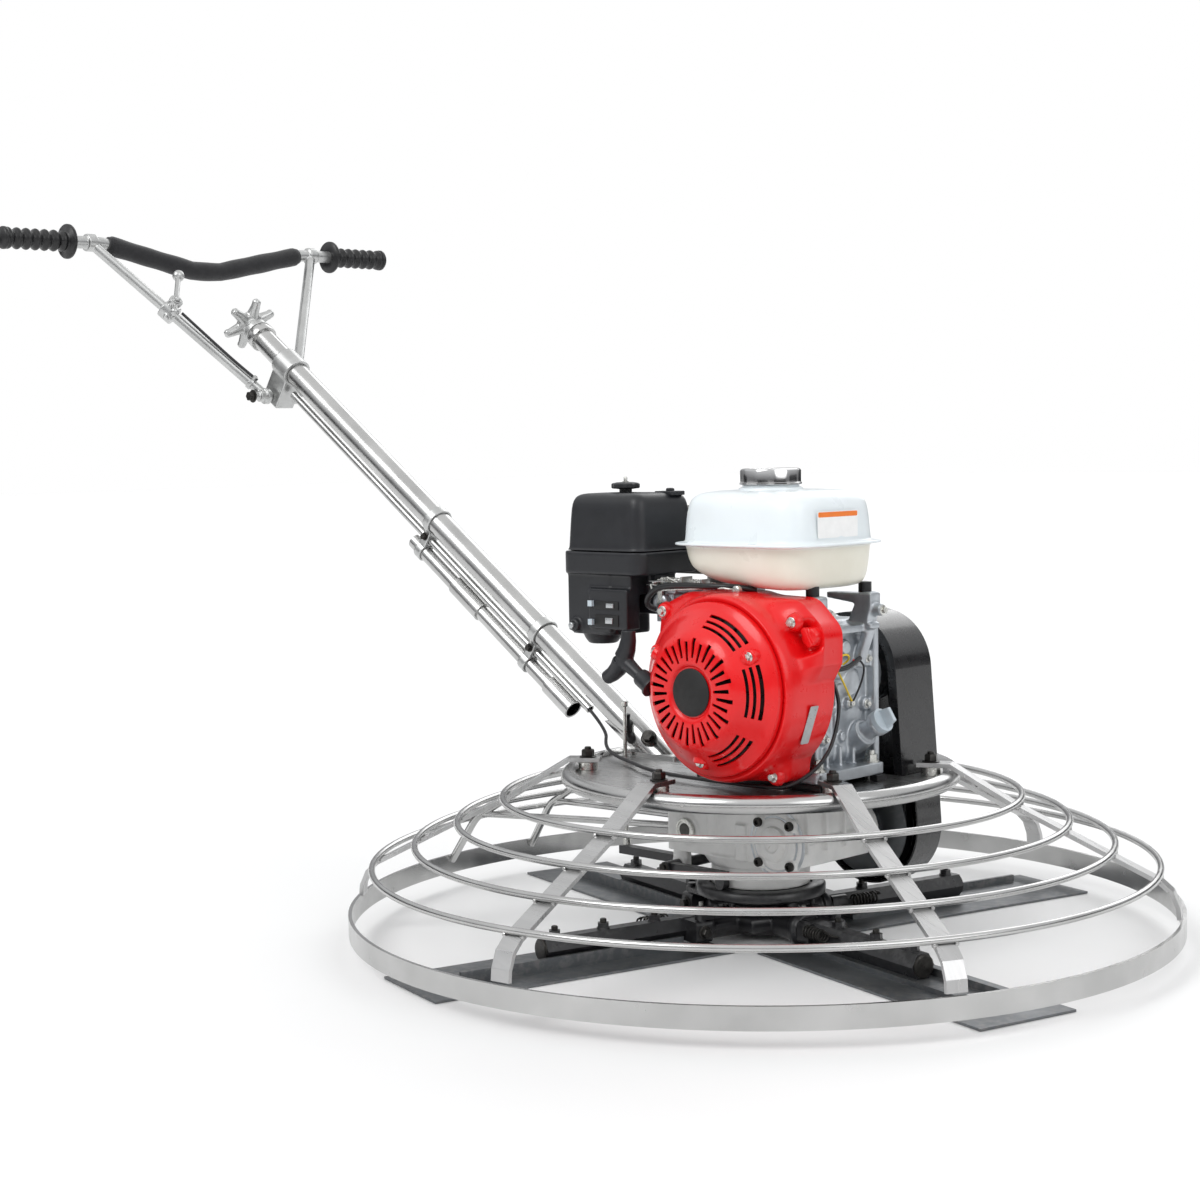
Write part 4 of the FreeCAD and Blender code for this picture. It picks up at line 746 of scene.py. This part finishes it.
def build_block():
    """The cast block as one softened casting with bosses, ribs, gasket lines and cast feet."""
    block = Shape().take("engine_block")
    right = 168
    for y, z, radius, tall in ((-42, 396, 9, 7), (-13, 344, 8, 8), (-52, 337, 7, 7), (24, 402, 11, 9),
            (22, 340, 9, 8), (-66, 300, 8, 7), (-26, 300, 7, 6), (-20, 420, 10, 8), (-60, 428, 9, 8),
            (26, 296, 9, 10)):
        block.lathe([(radius + 2.5, -3), (radius, 0), (radius, tall), (0, tall)], (right, y, z), AHEAD, 28)
    block.box((162, 30, 262), (184, 41, 452), edge=5)
    block.box((164, -90, 262), (178, -80, 452), edge=4)
    for y in (-62, -34, -6):
        block.box((164, y - 3, 262), (176, y + 3, 288), edge=2)
    block.box((164, -78, 372), (172, -10, 378), edge=2)
    block.box((164, -44, 306), (174, -36, 372), edge=3)
    block.lathe([(24, -4), (21, 4), (17, 8), (0, 8)], (166, -8, 372), AHEAD, 40)
    block.lathe([(17, 0), (17, 8), (15, 10), (0, 10)], (200.5, 8, 314), (0.85, 0, 0.53), 32)
    block.lathe([(20, -10), (19, 22), (0, 22)], (166, 8, 292.5), (0.85, 0, 0.53), 36)
    for low, high in (((172, -104, 444), (196, -84, 452)), ((172, 6, 444), (196, 28, 452))):
        block.box(low, high, edge=4)
    for y in (-94, 17):
        block.lathe([(11, 0), (11, 10), (0, 10)], (186, y, 484), UP, 28)
        block.lathe([(9, -6), (8, 12), (0, 12)], (196, y, 470), AHEAD, 28)
    block.rod([(170, -78, 404), (182, -92, 440), (188, -94, 486)], 7.5, 16)
    block.rod([(170, 10, 392), (184, 15, 438), (188, 17, 486)], 8.5, 16)
    for turn in range(6):
        angle = FULL * (turn + 0.5) / 6
        at = (100 + 72 * math.cos(angle), 38, 376 + 72 * math.sin(angle))
        block.lathe([(10, 0), (9, 14), (0, 14)], at, LEFT, 24)
    block.piece("engine_casting", ALLOY, ("engine_block",), voxel=1.7, soften=4, keep=0.45)

    heads = Shape()
    for y, z, lift in ((-42, 396, 7), (-13, 344, 8), (24, 402, 9), (22, 340, 8), (-66, 300, 7), (-60, 428, 8),
            (26, 296, 10)):
        heads.screw((right + lift - 0.5, y, z), AHEAD, 4.2)
    for turn in range(6):
        angle = FULL * (turn + 0.5) / 6
        heads.screw((100 + 72 * math.cos(angle), 51.5, 376 + 72 * math.sin(angle)), LEFT, 4.6)
    for y in (-94, 17):
        heads.screw((207.6, y, 470), AHEAD, 4.8)
    heads.piece("engine_screws", ZINC)

    Shape().box((168, -71, 347), (173.5, -57, 370), edge=0.1).piece("oil_alert_block", CHARCOAL, edge=0.8)

    leads = [(174, -58, 398), (184, -50, 410), (188, -34, 414), (182, -22, 404), (176, -30, 398)]
    cable("switch_lead_yellow_loop", "frame", leads, 1.5, YELLOW)
    cable("switch_lead_yellow", "frame", [(177, -44, 393), (180, -36, 378), (179, -22, 358), (178, -13, 346)],
        1.4, YELLOW)
    sleeve = [(176, -84, 404), (186, -76, 398), (190, -56, 394), (188, -30, 396), (184, -12, 402),
        (180, 2, 404)]
    cable("switch_lead_sleeve", "frame", sleeve, 3.4, LEAD)
    cable("switch_lead_black", "frame", [(182, -6, 404), (186, 4, 398), (186, 2, 380), (182, -8, 356),
        (178.5, -13, 346)], 1.4, LEAD)
    cable("switch_lead_red", "frame", [(183, -10, 403), (188, -14, 398), (184, -18, 404)], 1.3, RED)

    Shape().take("oil_cap").piece("oil_wing_cap", GREY, ("oil_cap",), body="oil_plug", voxel=0.7, soften=5)

    knob = Shape().lathe([(0, 0), (13, 0), (13.4, 1), (13.0, 11), (11.6, 14), (8, 15), (0, 15)],
        (222, -142.3, 447), RIGHT, 64)
    knob.box((-4.2, -13.5, 0), (4.2, 13.5, 20), placed((222, -142.3, 447), RIGHT, 0.5), edge=2.5)
    knob.piece("stop_switch_knob", RED, ("engine_switch",), body="stop_switch", slot="red_plastic", voxel=0.7,
        soften=4)


def build_head():
    """The spark plug and its cap, head bolts and the exhaust outlet."""
    lean = math.radians(25)
    way = Vector((-math.cos(lean), 0, math.sin(lean)))
    up = Vector((math.sin(lean), 0, math.cos(lean)))
    middle = Vector((100, -26, 376))
    plug = Shape()
    root = middle + way * 186 - up * 20
    plug.lathe([(8, 0), (8, 8), (6, 9), (5, 24), (0, 24)], root, way, 24)
    plug.hexagon(root + way * 3, way, 18, 9)
    plug.piece("spark_plug", ZINC)
    Shape().rod([root + way * 12, root + way * 30, root + way * 38 - Vector((0, 8, 2))],
        lambda share: 8.5 - share * 1.5, 20).piece("spark_plug_boot", RUBBER, voxel=0.9, soften=4)
    tip = root + way * 38 - Vector((0, 8, 2))
    cable("ignition_lead", "frame", [tip, tip + Vector((-8, -14, -6)), tip + Vector((10, -40, -20)),
        (-40, -100, 412), (-14, -112, 404), (4, -116, 400)], 3.4, LEAD)
    bolts = Shape()
    for across in (-44, 44):
        for rise in (-40, 40):
            bolts.bolt(middle + way * 197 + up * rise * 0.72 + Vector((0, across * 0.72, 0)), way, 12)
    bolts.piece("rocker_cover_bolts", ZINC)

    Shape().lathe([(14, 0), (14.6, 8), (16, 9), (16, 14), (13, 14), (13, -10), (0, -10)], (-160, 110, 560),
        LEFT, 40).piece("exhaust_outlet", EXHAUST)
    shield = Shape()
    for step in range(7):
        x = -180 + step * 20
        shield.box((x, -26, 604.2), (x + 9, 88, 606.4), edge=3)
    shield.piece("muffler_shield_ribs", EXHAUST, edge=0.6)


# ---------------- gearbox, deck and rotor

FACE = -80


def build_gearbox():
    """The white gearbox casting with its sight window and bearing cap."""
    case = Shape().take("gearbox_case")
    case.lathe([(23, -4), (21, 3), (0, 3)], (-66, FACE, 153), RIGHT, 40)
    case.box((-26, FACE - 4, 148), (-8, FACE + 3, 214), edge=3)
    case.box((26, FACE - 5, 122), (46, FACE + 3, 172), edge=3)
    case.lathe([(46, -6), (44, 1), (42, 3), (0, 3)], (100, FACE, 153), RIGHT, 56)
    for angle in (45, 135, 225, 315):
        turn = math.radians(angle)
        at = (100 + 39 * math.cos(turn), FACE, 153 + 39 * math.sin(turn))
        case.lathe([(10, -4), (9, 6), (0, 6)], at, RIGHT, 28)
    for y in (-60, -20, 20, 60):
        case.box((128, y - 3, 140), (140, y + 3, 220), edge=2)
    case.box((128, -78, 152), (137, 82, 158), edge=2)
    case.lathe([(13, -3), (12, 8), (0, 8)], (132, 44, 190), AHEAD, 28)
    for side in (-1, 1):
        case.lathe([(14, 0), (13, 3), (0, 3)], (-100, side * 61, 96), (0, side, 0), 32)
    case.piece("gearbox_casting", WHITE, ("gearbox_case",), voxel=1.7, soften=3, keep=0.45)

    Shape().lathe([(0, -2), (13, -2), (13, 1.6), (9, 2.6), (0, 3)], (-66, -84.6, 153), RIGHT,
        48).piece("sight_glass", OIL)
    Shape().lathe([(12.4, 0), (16.8, 0), (16.8, 2.4), (15.6, 3.6), (13.2, 3.6), (12.4, 2.4)],
        (-66, -84.6, 153), RIGHT, 48).piece("sight_glass_rim", ZINC)

    Shape().lathe([(0, 0), (35, 0), (36, 1), (36, 5), (34, 6.4), (25, 6.8), (23.5, 9), (23.5, 12), (21, 13.4),
        (12, 13.8), (10, 12.4), (0, 12.4)], (100, -80.1, 153), RIGHT, 64).piece("bearing_cap", WHITE,
        ("bearing_cover",))
    gasket = Shape().lathe([(45.4, 0), (48.4, 0), (48.4, 0.8), (45.4, 0.8)], (100, -79.9, 153), RIGHT, 72)
    gasket.lathe([(36.4, 3), (38.4, 3), (38.4, 3.9), (36.4, 3.9)], (100, -80.1, 153), RIGHT, 72)
    gasket.piece("bearing_cap_gaskets", ALLOY)
    heads = Shape()
    for angle in (45, 135, 225, 315):
        turn = math.radians(angle)
        heads.lathe([(0, 0), (6.4, 0), (6.4, 5), (5.6, 6), (3.6, 6), (3.6, 3), (0, 3)],
            (100 + 39 * math.cos(turn), -85.6, 153 + 39 * math.sin(turn)), RIGHT, 28)
    for side in (-1, 1):
        heads.screw((-100, side * 93.2, 96), (0, side, 0), 5)
    heads.screw((140, 44, 190), AHEAD, 5.5)
    heads.piece("gearbox_screws", DARK_BOLT)


STRAPS = (26, 82, 140.5, -26, -82, -140.5)
DECK_TOP = 236.0
STRAP_TOP = 254.0


def build_deck():
    """What is bolted and welded to the deck plate: pads, spacers, bolts and the rings' weld beads."""
    pad = Shape()
    for y in (-99, 22):
        pad.box((-22, y - 9, 236.2), (200, y + 11, 244.8), edge=2)
    pad.box((-22, -108, 236.2), (-14, 33, 244.8), edge=2)
    pad.piece("engine_pads", RUBBER, edge=0.8)
    Shape().box((-60, -128, 236.2), (150, -98, 238.0), edge=4).piece("belt_adjuster_plate", PLATE, edge=0.4)

    spacers = Shape()
    bolts = Shape()
    for number, angle in enumerate(STRAPS):
        turn = math.radians(angle)
        spacers.lathe([(13.2, 0), (14, 0.8), (14, 11.2), (13.2, 12)], polar(244, turn, DECK_TOP), UP, 40)
        bolts.bolt(polar(244, turn, STRAP_TOP), UP, 16, spin=number * 0.4, stub=3.6)
        bolts.hexagon(polar(244, turn, DECK_TOP - 6), (0, 0, -1), 17, 8)
    spacers.piece("strap_spacers", ZINC, ("strap_bolts",))
    bolts.piece("strap_bolt_heads", DARK_BOLT)

    welds = Shape()
    for angle in STRAPS:
        turn = math.radians(angle)
        side = Vector((-math.sin(turn), math.cos(turn), 0))
        for radius, up in ((364.6, 198.6), (429.2, 166.5), (489.9, 136.6), (550, 106.6)):
            for edge in (-1, 1):
                at = polar(radius, turn, up) + side * edge * 14.2
                bead = [at + side * edge * reach for reach in (-2.2, 0.4, 2.8)]
                welds.rod(bead, lambda share: 4.4 - 3.0 * abs(share - 0.4), 12)
    welds.piece("ring_weld_beads", STEEL)

    nuts = Shape()
    for x, y in ((4, -92), (182, -92), (4, 22), (182, 22)):
        nuts.lathe([(5, 0), (5, 5), (4, 6.4), (0, 6.4)], (x, y, 271), UP, 24)
    nuts.piece("foot_bolt_ends", ZINC)


ARMS = (-14.0, 76.0, 166.0, -104.0)


def build_rotor():
    """The hub casting with its four sockets, and the thrust collar above it."""
    hub = Shape().take("rotor_hub")
    for angle in ARMS:
        turn = math.radians(angle)
        way = polar(1.0, turn)
        hub.lathe([(25.5, -5), (25.5, 5), (22, 8)], polar(101, turn, 26), way, 40)
        side = Vector((-math.sin(turn), math.cos(turn), 0))
        hub.lathe([(8, 0), (7, 6), (0, 6)], polar(102, turn, 46), UP, 24)
        middle = math.radians(angle + 45)
        web = [polar(46, middle - 0.45, 26), polar(62, middle, 26), polar(46, middle + 0.45, 26)]
        hub.rod(web, 13, 16)
        hub.rod([polar(60, turn, 26) + side * 18, polar(104, turn, 26) + side * 20], 5, 12)
    hub.piece("hub_casting", BLACK, ("rotor_hub",), body="rotor", voxel=1.5, soften=4, keep=0.5)
    heads = Shape()
    for angle in ARMS:
        turn = math.radians(angle)
        heads.lathe([(2.0, 0), (3.4, 1), (3.4, 6), (2.2, 7), (0, 7)], polar(102, turn, 51.6), UP, 18)
    heads.piece("grease_fittings", ZINC, body="rotor")

    Shape().lathe([(20.3, 66), (60, 66), (61, 61), (64, 60), (89, 60), (92, 62.5), (92, 73), (88.5, 76),
        (73, 76), (72, 72.4), (20.3, 72)], sides=128).piece("thrust_collar_ring", BLACK, ("thrust_collar",),
        body="collar", crease=50)


def build_arms():
    """The lift spring and the fittings of each blade arm."""
    for number, angle in enumerate(ARMS, start=1):
        turn = Matrix.Rotation(math.radians(angle), 4, "Z")
        body = "arm_%d" % number
        spring = Shape()
        start = turn @ Vector((144, -27, 34))
        spring.spring(start, turn.to_3x3() @ Vector(AHEAD), 7.5, 1.5, 7, 40)
        hook = [turn @ Vector(point) for point in ((184, -27, 41.5), (190, -27, 40), (196, -22, 36),
            (198, -14, 34))]
        spring.rod(hook, 1.5, 10)
        hook = [turn @ Vector(point) for point in ((144, -27, 26.5), (138, -27, 26), (130, -22, 26),
            (128, -18, 26))]
        spring.rod(hook, 1.5, 10)
        spring.piece("lift_spring_%d" % number, DARK_BOLT, body=body)

        extra = Shape()
        for across in (180.0, 262.0, 338.0):
            at = turn @ Vector((across, 0, 50))
            extra.lathe([(4.6, 0), (4.6, 5), (3.6, 6.2), (0, 6.2)], at, UP, 20)
        extra.bolt(turn @ Vector((126, 44, 26)), turn.to_3x3() @ Vector(LEFT), 13)
        extra.lathe([(15.8, 0), (15.8, 2.2), (13.4, 4), (0, 4)], turn @ Vector((357.6, 0, 26)),
            turn.to_3x3() @ Vector(AHEAD), 40)
        extra.piece("arm_fittings_%d" % number, DARK_BOLT, body=body)


# ---------------- handle

SLOPE = math.radians(34.4)
UPWARD = Vector((-math.cos(SLOPE), 0, math.sin(SLOPE)))
UNDER = Vector((-math.sin(SLOPE), 0, -math.cos(SLOPE)))


def along_handle(run, drop=0.0, side=0.0):
    return Vector((-165, side, 218)) + UPWARD * run + UNDER * drop


PIVOT = along_handle(1106.7, 60)


def build_handle():
    """What is fixed along the main tube: the clamp lever, saddles, end collar and bolts."""
    lever = Shape()
    lever.rod([(-234, -22, 262), (-238, -23, 274), (-240, -23, 288), (-239, -23, 298)],
        lambda share: 3.4 + 1.8 * share, 14)
    lever.lathe([(9, 0), (9, 6), (7, 8), (0, 8)], (-234, -16, 262), RIGHT, 28)
    lever.piece("cable_clamp_lever", RUBBER)
    boss = Shape().lathe([(12, 0), (12, 8), (10, 10), (0, 10)], along_handle(56, -14, -12), (0.4, -0.75, 0.5),
        36)
    boss.hexagon(along_handle(56, -14, -12) + Vector((0.4, -0.75, 0.5)).normalized() * 10, (0.4, -0.75, 0.5),
        15, 8)
    boss.piece("handle_clamp_bolt", DARK_BOLT)

    Shape().lathe([(20.6, 0), (24.5, 0), (25, 1), (25, 15), (24.5, 16), (20.6, 16)], along_handle(1200),
        UPWARD, 64).piece("handle_end_collar", STEEL)

    foot = Shape()
    for x in (-236, -158):
        foot.bolt((x, 30, 242.2), UP, 12, stub=3)
    foot.piece("handle_foot_bolts", ZINC)

    Shape().take("handle_clamps").piece("handle_saddles", SILVER, ("handle_clamps",), voxel=1.2, soften=3,
        keep=0.6)
    bolts = Shape()
    for run in (330, 630):
        for side in (-1, 1):
            bolts.bolt(along_handle(run + 8, 31, side * 11.6), (0, side, 0), 9)
    pivot = PIVOT
    bolts.bolt((pivot.x, -58, pivot.z), RIGHT, 15)
    bolts.piece("handle_bolts", DARK_BOLT)

    Shape().lathe([(10.4, 0), (10.4, 3), (8, 4), (0, 4)], along_handle(660, 60), UPWARD,
        32).piece("lift_tube_plug", RUBBER)


def build_handwheel():
    """The six-lobed star handwheel on its stem."""
    wheel = Shape()
    end = along_handle(1218)
    wheel.lathe([(8, -60), (8, 1), (24, 1), (24, 12), (15, 19), (17, 25), (23, 29), (24, 40), (20, 44),
        (14, 48), (0, 50)], end, UPWARD, 64)
    across = -UNDER
    for step in range(6):
        turn = math.pi * step / 3
        way = across * math.cos(turn) + Vector((0, math.sin(turn), 0))
        root = end + UPWARD * 35
        wheel.rod([root + way * 8, root + way * 30, root + way * 40, root + way * 46 + UPWARD * 1.5,
            root + way * 49.5 + UPWARD * 2], lambda share: (12.5, 9.0, 7.8, 7.6, 4.6)[round(share * 4)], 20)
    wheel.piece("star_handwheel", SILVER, ("pitch_knob",), body="handwheel", voxel=1.0, soften=6, keep=0.6)


BAR = Vector((-1330, 0, 1068))


def build_handlebar():
    """The handlebar with its two ribbed grips and the foam sleeve."""
    bar = Shape().take("handlebar")
    for side in (-1, 1):
        top = Vector((BAR.x, side * 240, BAR.z))
        bar.lathe([(14.5, -9), (15.5, -8), (15.5, 8), (14.5, 9)], top, LEFT, 32)
    bar.piece("handlebar_frame", SILVER, ("handlebar",), body="handlebar", voxel=1.2, soften=2, keep=0.6)

    for side, tag in ((-1, "right"), (1, "left")):
        inner = Vector((BAR.x, side * 282, BAR.z))
        profile = [(12.2, 0), (29.4, 0.2), (30.2, 1.6), (30.2, 5.4), (29.2, 6.8), (18, 7.4), (16, 10)]
        ridges = 6
        for step in range(ridges * 8 + 1):
            share = step / (ridges * 8)
            wave = math.cos(FULL * ridges * share)
            profile.append((16.4 + 2.5 * wave * (1 if step else 0.4), 13 + share * 106))
        profile += [(17.5, 122), (19.5, 124), (19.5, 128), (17, 130.6), (0, 131)]
        grip = Shape().lathe(profile, inner, (0, side, 0), 56)
        stands = ("grips",) if side == -1 else ()
        grip.piece("ribbed_grip_" + tag, RUBBER, stands, body="handlebar", crease=60)

    pad = Shape()
    steps = 120
    line = []
    for step in range(steps + 1):
        y = -207 + 414 * step / steps
        dip = 46 * (1 - abs(y) / 215)
        soft = min(dip, 40 - 0.000875 * y * y)
        line.append((BAR.x, y, BAR.z - max(0.0, soft)))
    pad.rod(line, foam_radius, 40)
    foam = pad.piece("foam_sleeve", FOAM, ("foam_pad",), body="handlebar", crease=70)


def foam_radius(share):
    """The sleeve's radius along its length: full, a little lumpy, and drawn in at both ends."""
    ends = ease(share, 0.0, 0.02) * ease(1 - share, 0.0, 0.02)
    lumps = 0.35 * math.sin(share * 41) + 0.25 * math.sin(share * 17 + 1.3)
    return 14.2 + 2.8 * ends + lumps * ends


def build_throttle():
    """The throttle lever on its clamp, and the stretch of cable that shows below it."""
    Shape().take("throttle_lever").piece("throttle_lever_cast", SILVER, ("throttle_lever",), body="throttle",
        voxel=0.8, soften=3, keep=0.7)
    pivot = PIVOT
    top = Vector((BAR.x, -240, BAR.z))
    low = Vector((pivot.x, -31, pivot.z))
    way = (low - top).normalized()
    outward = way.cross(Vector(LEFT)).normalized()
    at = top + (low - top) * 0.45
    base = at + outward * 23.6
    sideways = outward.cross(way).normalized()
    reach = (sideways * 0.85 - way * 0.52).normalized()
    balls = Shape()
    for spot, radius in ((base + outward * 3.5 + reach * 70, 10.5), (base + outward * 3.5 - reach * 27, 7.5)):
        profile = [(radius * math.sin(math.pi * step / 20), -radius * math.cos(math.pi * step / 20))
            for step in range(21)]
        balls.lathe(profile, spot, reach, 32)
    balls.bolt(base + outward * 6.6, outward, 10)
    balls.piece("throttle_balls", SILVER, body="throttle", crease=60)

    clamp = Shape()
    clamp.lathe([(9.2, -13), (16.5, -13), (17.5, -12), (17.5, 12), (16.5, 13), (9.2, 13)], at, way, 48)
    clamp.bolt(at + outward * 2 - sideways * 17 + way * 6, -sideways, 9)
    clamp.box((-9, -4, 14), (9, 4, 21), placed(at, outward), edge=2)
    clamp.piece("throttle_clamp", SILVER, body="handlebar", voxel=0.8, soften=3, keep=0.7)

    lift = outward * 14.5
    route = [at + way * 20 + lift + outward * 2, at + way * 80 + lift, at + way * 150 + lift - outward * 2,
        at + way * 196 + lift]
    wire = cable("throttle_cable_sleeve", "handlebar", route, 2.6, LEAD, ("throttle_cable",))
    clip = Shape().lathe([(9.2, -4), (11, -4), (11.4, -3), (11.4, 3), (11, 4), (9.2, 4)], at + way * 190, way,
        32)
    clip.rod([at + way * 190 + outward * 10, at + way * 190 + outward * 17.6], 4.0, 16)
    clip.piece("cable_end_clip", SILVER, body="handlebar", crease=50)


def build_stop_wire():
    """The stop switch's wire, from the tube's conduit round the deck to the engine."""
    start = along_handle(188, 36)
    inside = start + UPWARD * 30
    route = [inside, (-300, -4, 268), (-262, -48, 250), (-215, -74, 243.5), (-150, -104, 243),
        (-90, -136, 243), (-20, -150, 243), (50, -152, 243), (120, -152, 243.4), (184, -148, 247),
        (216, -116, 282), (214, -88, 326), (202, -70, 366), (171.5, -58, 392)]
    wire = cable("stop_switch_wire", "frame", route, 2.6, LEAD, ("stop_wire",))


def build_starter_grip():
    """The starter's pull grip, its guide in the shroud and the rope between them."""
    grip = Shape().take("recoil_handle")
    way = Vector((-0.84, 0, 0.54))
    across = Vector((0.54, 0, 0.84))
    root = Vector((-11, -226, 387))
    middle = root + way * 40
    for side in (-1, 1):
        grip.rod([middle + across * side * 4, middle + across * side * 16 + way * 1,
            middle + across * side * 28 + way * 5, middle + across * side * 40 + way * 12],
            lambda share: 13.5 - 4.0 * share, 20)
    grip.rod([root + way * 2, root + way * 14, root + way * 30, middle], lambda share: 8.5 + 4.5 * share ** 2,
        20)
    grip.piece("starter_pull_grip", CHARCOAL, ("recoil_handle",), body="starter_grip", voxel=1.0, soften=8,
        keep=0.6)

    Shape().lathe([(7.5, 0), (11.5, 1), (12.5, 4), (12.5, 20), (15, 23), (15, 26), (0, 26)], root + way * 2.5,
        -way, 36).piece("starter_rope_guide", CHARCOAL, crease=50)

    inner = root - way * 46
    rope = Shape().rod([inner.lerp(root + way * 6, step / 60) for step in range(61)],
        lambda share: 2.1 + 0.18 * math.sin(share * 130), 10)
    rope_piece = rope_mesh(rope)
    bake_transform(rope_piece)


def rope_mesh(shape):
    """The starter rope from inside the cover to the grip, as one mesh."""
    bmesh.ops.recalc_face_normals(shape.mesh, faces=shape.mesh.faces[:])
    mesh = bpy.data.meshes.new("starter_rope")
    shape.mesh.to_mesh(mesh)
    shape.mesh.free()
    mesh.transform(Matrix.Scale(MM, 4))
    for polygon in mesh.polygons:
        polygon.use_smooth = True
    mesh.materials.append(LEAD)
    item = added("starter_rope", mesh)
    return item


# ---------------- studio

def build_studio():
    """A white floor and sky, three soft suns, and dark cards that only reflections see."""
    floor = bpy.data.meshes.new("studio_floor")
    floor.from_pydata([(-30, -30, -0.0006), (30, -30, -0.0006), (30, 30, -0.0006), (-30, 30, -0.0006)], [],
        [(0, 1, 2, 3)])
    floor.materials.append(finish("studio_floor", (0.86, 0.86, 0.86), 0.62, vary=0.01, size=0.4, bump=0.01))
    ground = added("studio_floor", floor)

    world = bpy.data.worlds.new("studio")
    world.use_nodes = True
    tree = world.node_tree
    sky = tree.nodes["Background"]
    place = tree.nodes.new("ShaderNodeTexCoord")
    parts = tree.nodes.new("ShaderNodeSeparateXYZ")
    link(tree, place.outputs["Generated"], parts.inputs["Vector"])
    level = tree.nodes.new("ShaderNodeMapRange")
    level.inputs["From Min"].default_value = -1.0
    level.inputs["From Max"].default_value = 1.0
    link(tree, parts.outputs["Z"], level.inputs["Value"])
    dome = ramp(tree, level.outputs["Result"], [(0.0, (0.60, 0.60, 0.60)), (0.46, (0.42, 0.42, 0.42)),
        (0.52, (0.16, 0.16, 0.165)), (0.58, (0.30, 0.30, 0.31)), (0.70, (0.78, 0.79, 0.80)),
        (1.0, (0.98, 0.98, 0.98))])
    direct = tree.nodes.new("ShaderNodeLightPath")
    link(tree, mixed(tree, direct.outputs["Is Camera Ray"], dome, (1.0, 1.0, 1.0)), sky.inputs["Color"])
    sky.inputs["Strength"].default_value = 1.0
    bpy.context.scene.world = world

    aim = Vector((-0.25, 0, 0.35))
    for name, spot, wide, power in (("key", (-0.6, -3.2, 3.2), 32, 1.15), ("side", (3.6, -0.4, 2.4), 40, 0.55),
            ("back", (-1.4, 3.4, 2.4), 40, 0.6)):
        lamp = bpy.data.lights.new(name, "SUN")
        lamp.angle = math.radians(wide)
        lamp.energy = power
        item = added(name, lamp)
        item.location = spot
        item.rotation_euler = (aim - Vector(spot)).to_track_quat("-Z", "Y").to_euler()

    card_look = finish("dark_card", (0.02, 0.02, 0.022), 0.9, vary=0.1, size=1.0, bump=0.0)
    for number, (spot, wide, tall) in enumerate((((4.5, -1.2, 0.75), 3.4, 0.9), ((0.4, -4.8, 0.7), 3.0, 0.8),
            ((-4.6, -1.5, 0.9), 3.4, 1.0), ((-0.8, 4.8, 0.8), 3.6, 0.9), ((3.4, 3.4, 1.0), 2.4, 1.0))):
        mesh = bpy.data.meshes.new("card")
        mesh.from_pydata([(-wide / 2, -tall / 2, 0), (wide / 2, -tall / 2, 0), (wide / 2, tall / 2, 0),
            (-wide / 2, tall / 2, 0)], [], [(0, 1, 2, 3)])
        mesh.materials.append(card_look)
        card = added("reflection_card_%d" % number, mesh)
        card.location = spot
        card.rotation_euler = (Vector(spot) - aim).to_track_quat("Z", "Y").to_euler()
        for flag in ("visible_camera", "visible_diffuse", "visible_shadow", "visible_transmission"):
            setattr(card, flag, False)


def build_camera():
    """The camera at the front right of the machine."""
    data = bpy.data.cameras.new("photo_angle")
    data.sensor_width = 36.0
    data.lens = 62.7
    data.clip_end = 100.0
    item = added("photo_angle", data)
    right = Vector((0.70408, 0.70988, -0.01855))
    up = Vector((-0.04019, 0.06591, 0.99702))
    back = right.cross(up)
    item.matrix_world = Matrix.Translation((1.93138, -2.22180, 0.70064)) @ Matrix((right, up,
        back)).transposed().to_4x4()
    bpy.context.scene.camera = item
    bpy.context.scene.view_settings.view_transform = "Standard"


build_cover()
build_shroud()
build_tank()
build_air_cleaner()
build_fuel_system()
build_block()
build_head()
build_gearbox()
build_deck()
build_rotor()
build_arms()
build_handle()
build_handwheel()
build_handlebar()
build_throttle()
build_stop_wire()
build_starter_grip()
build_studio()
build_camera()
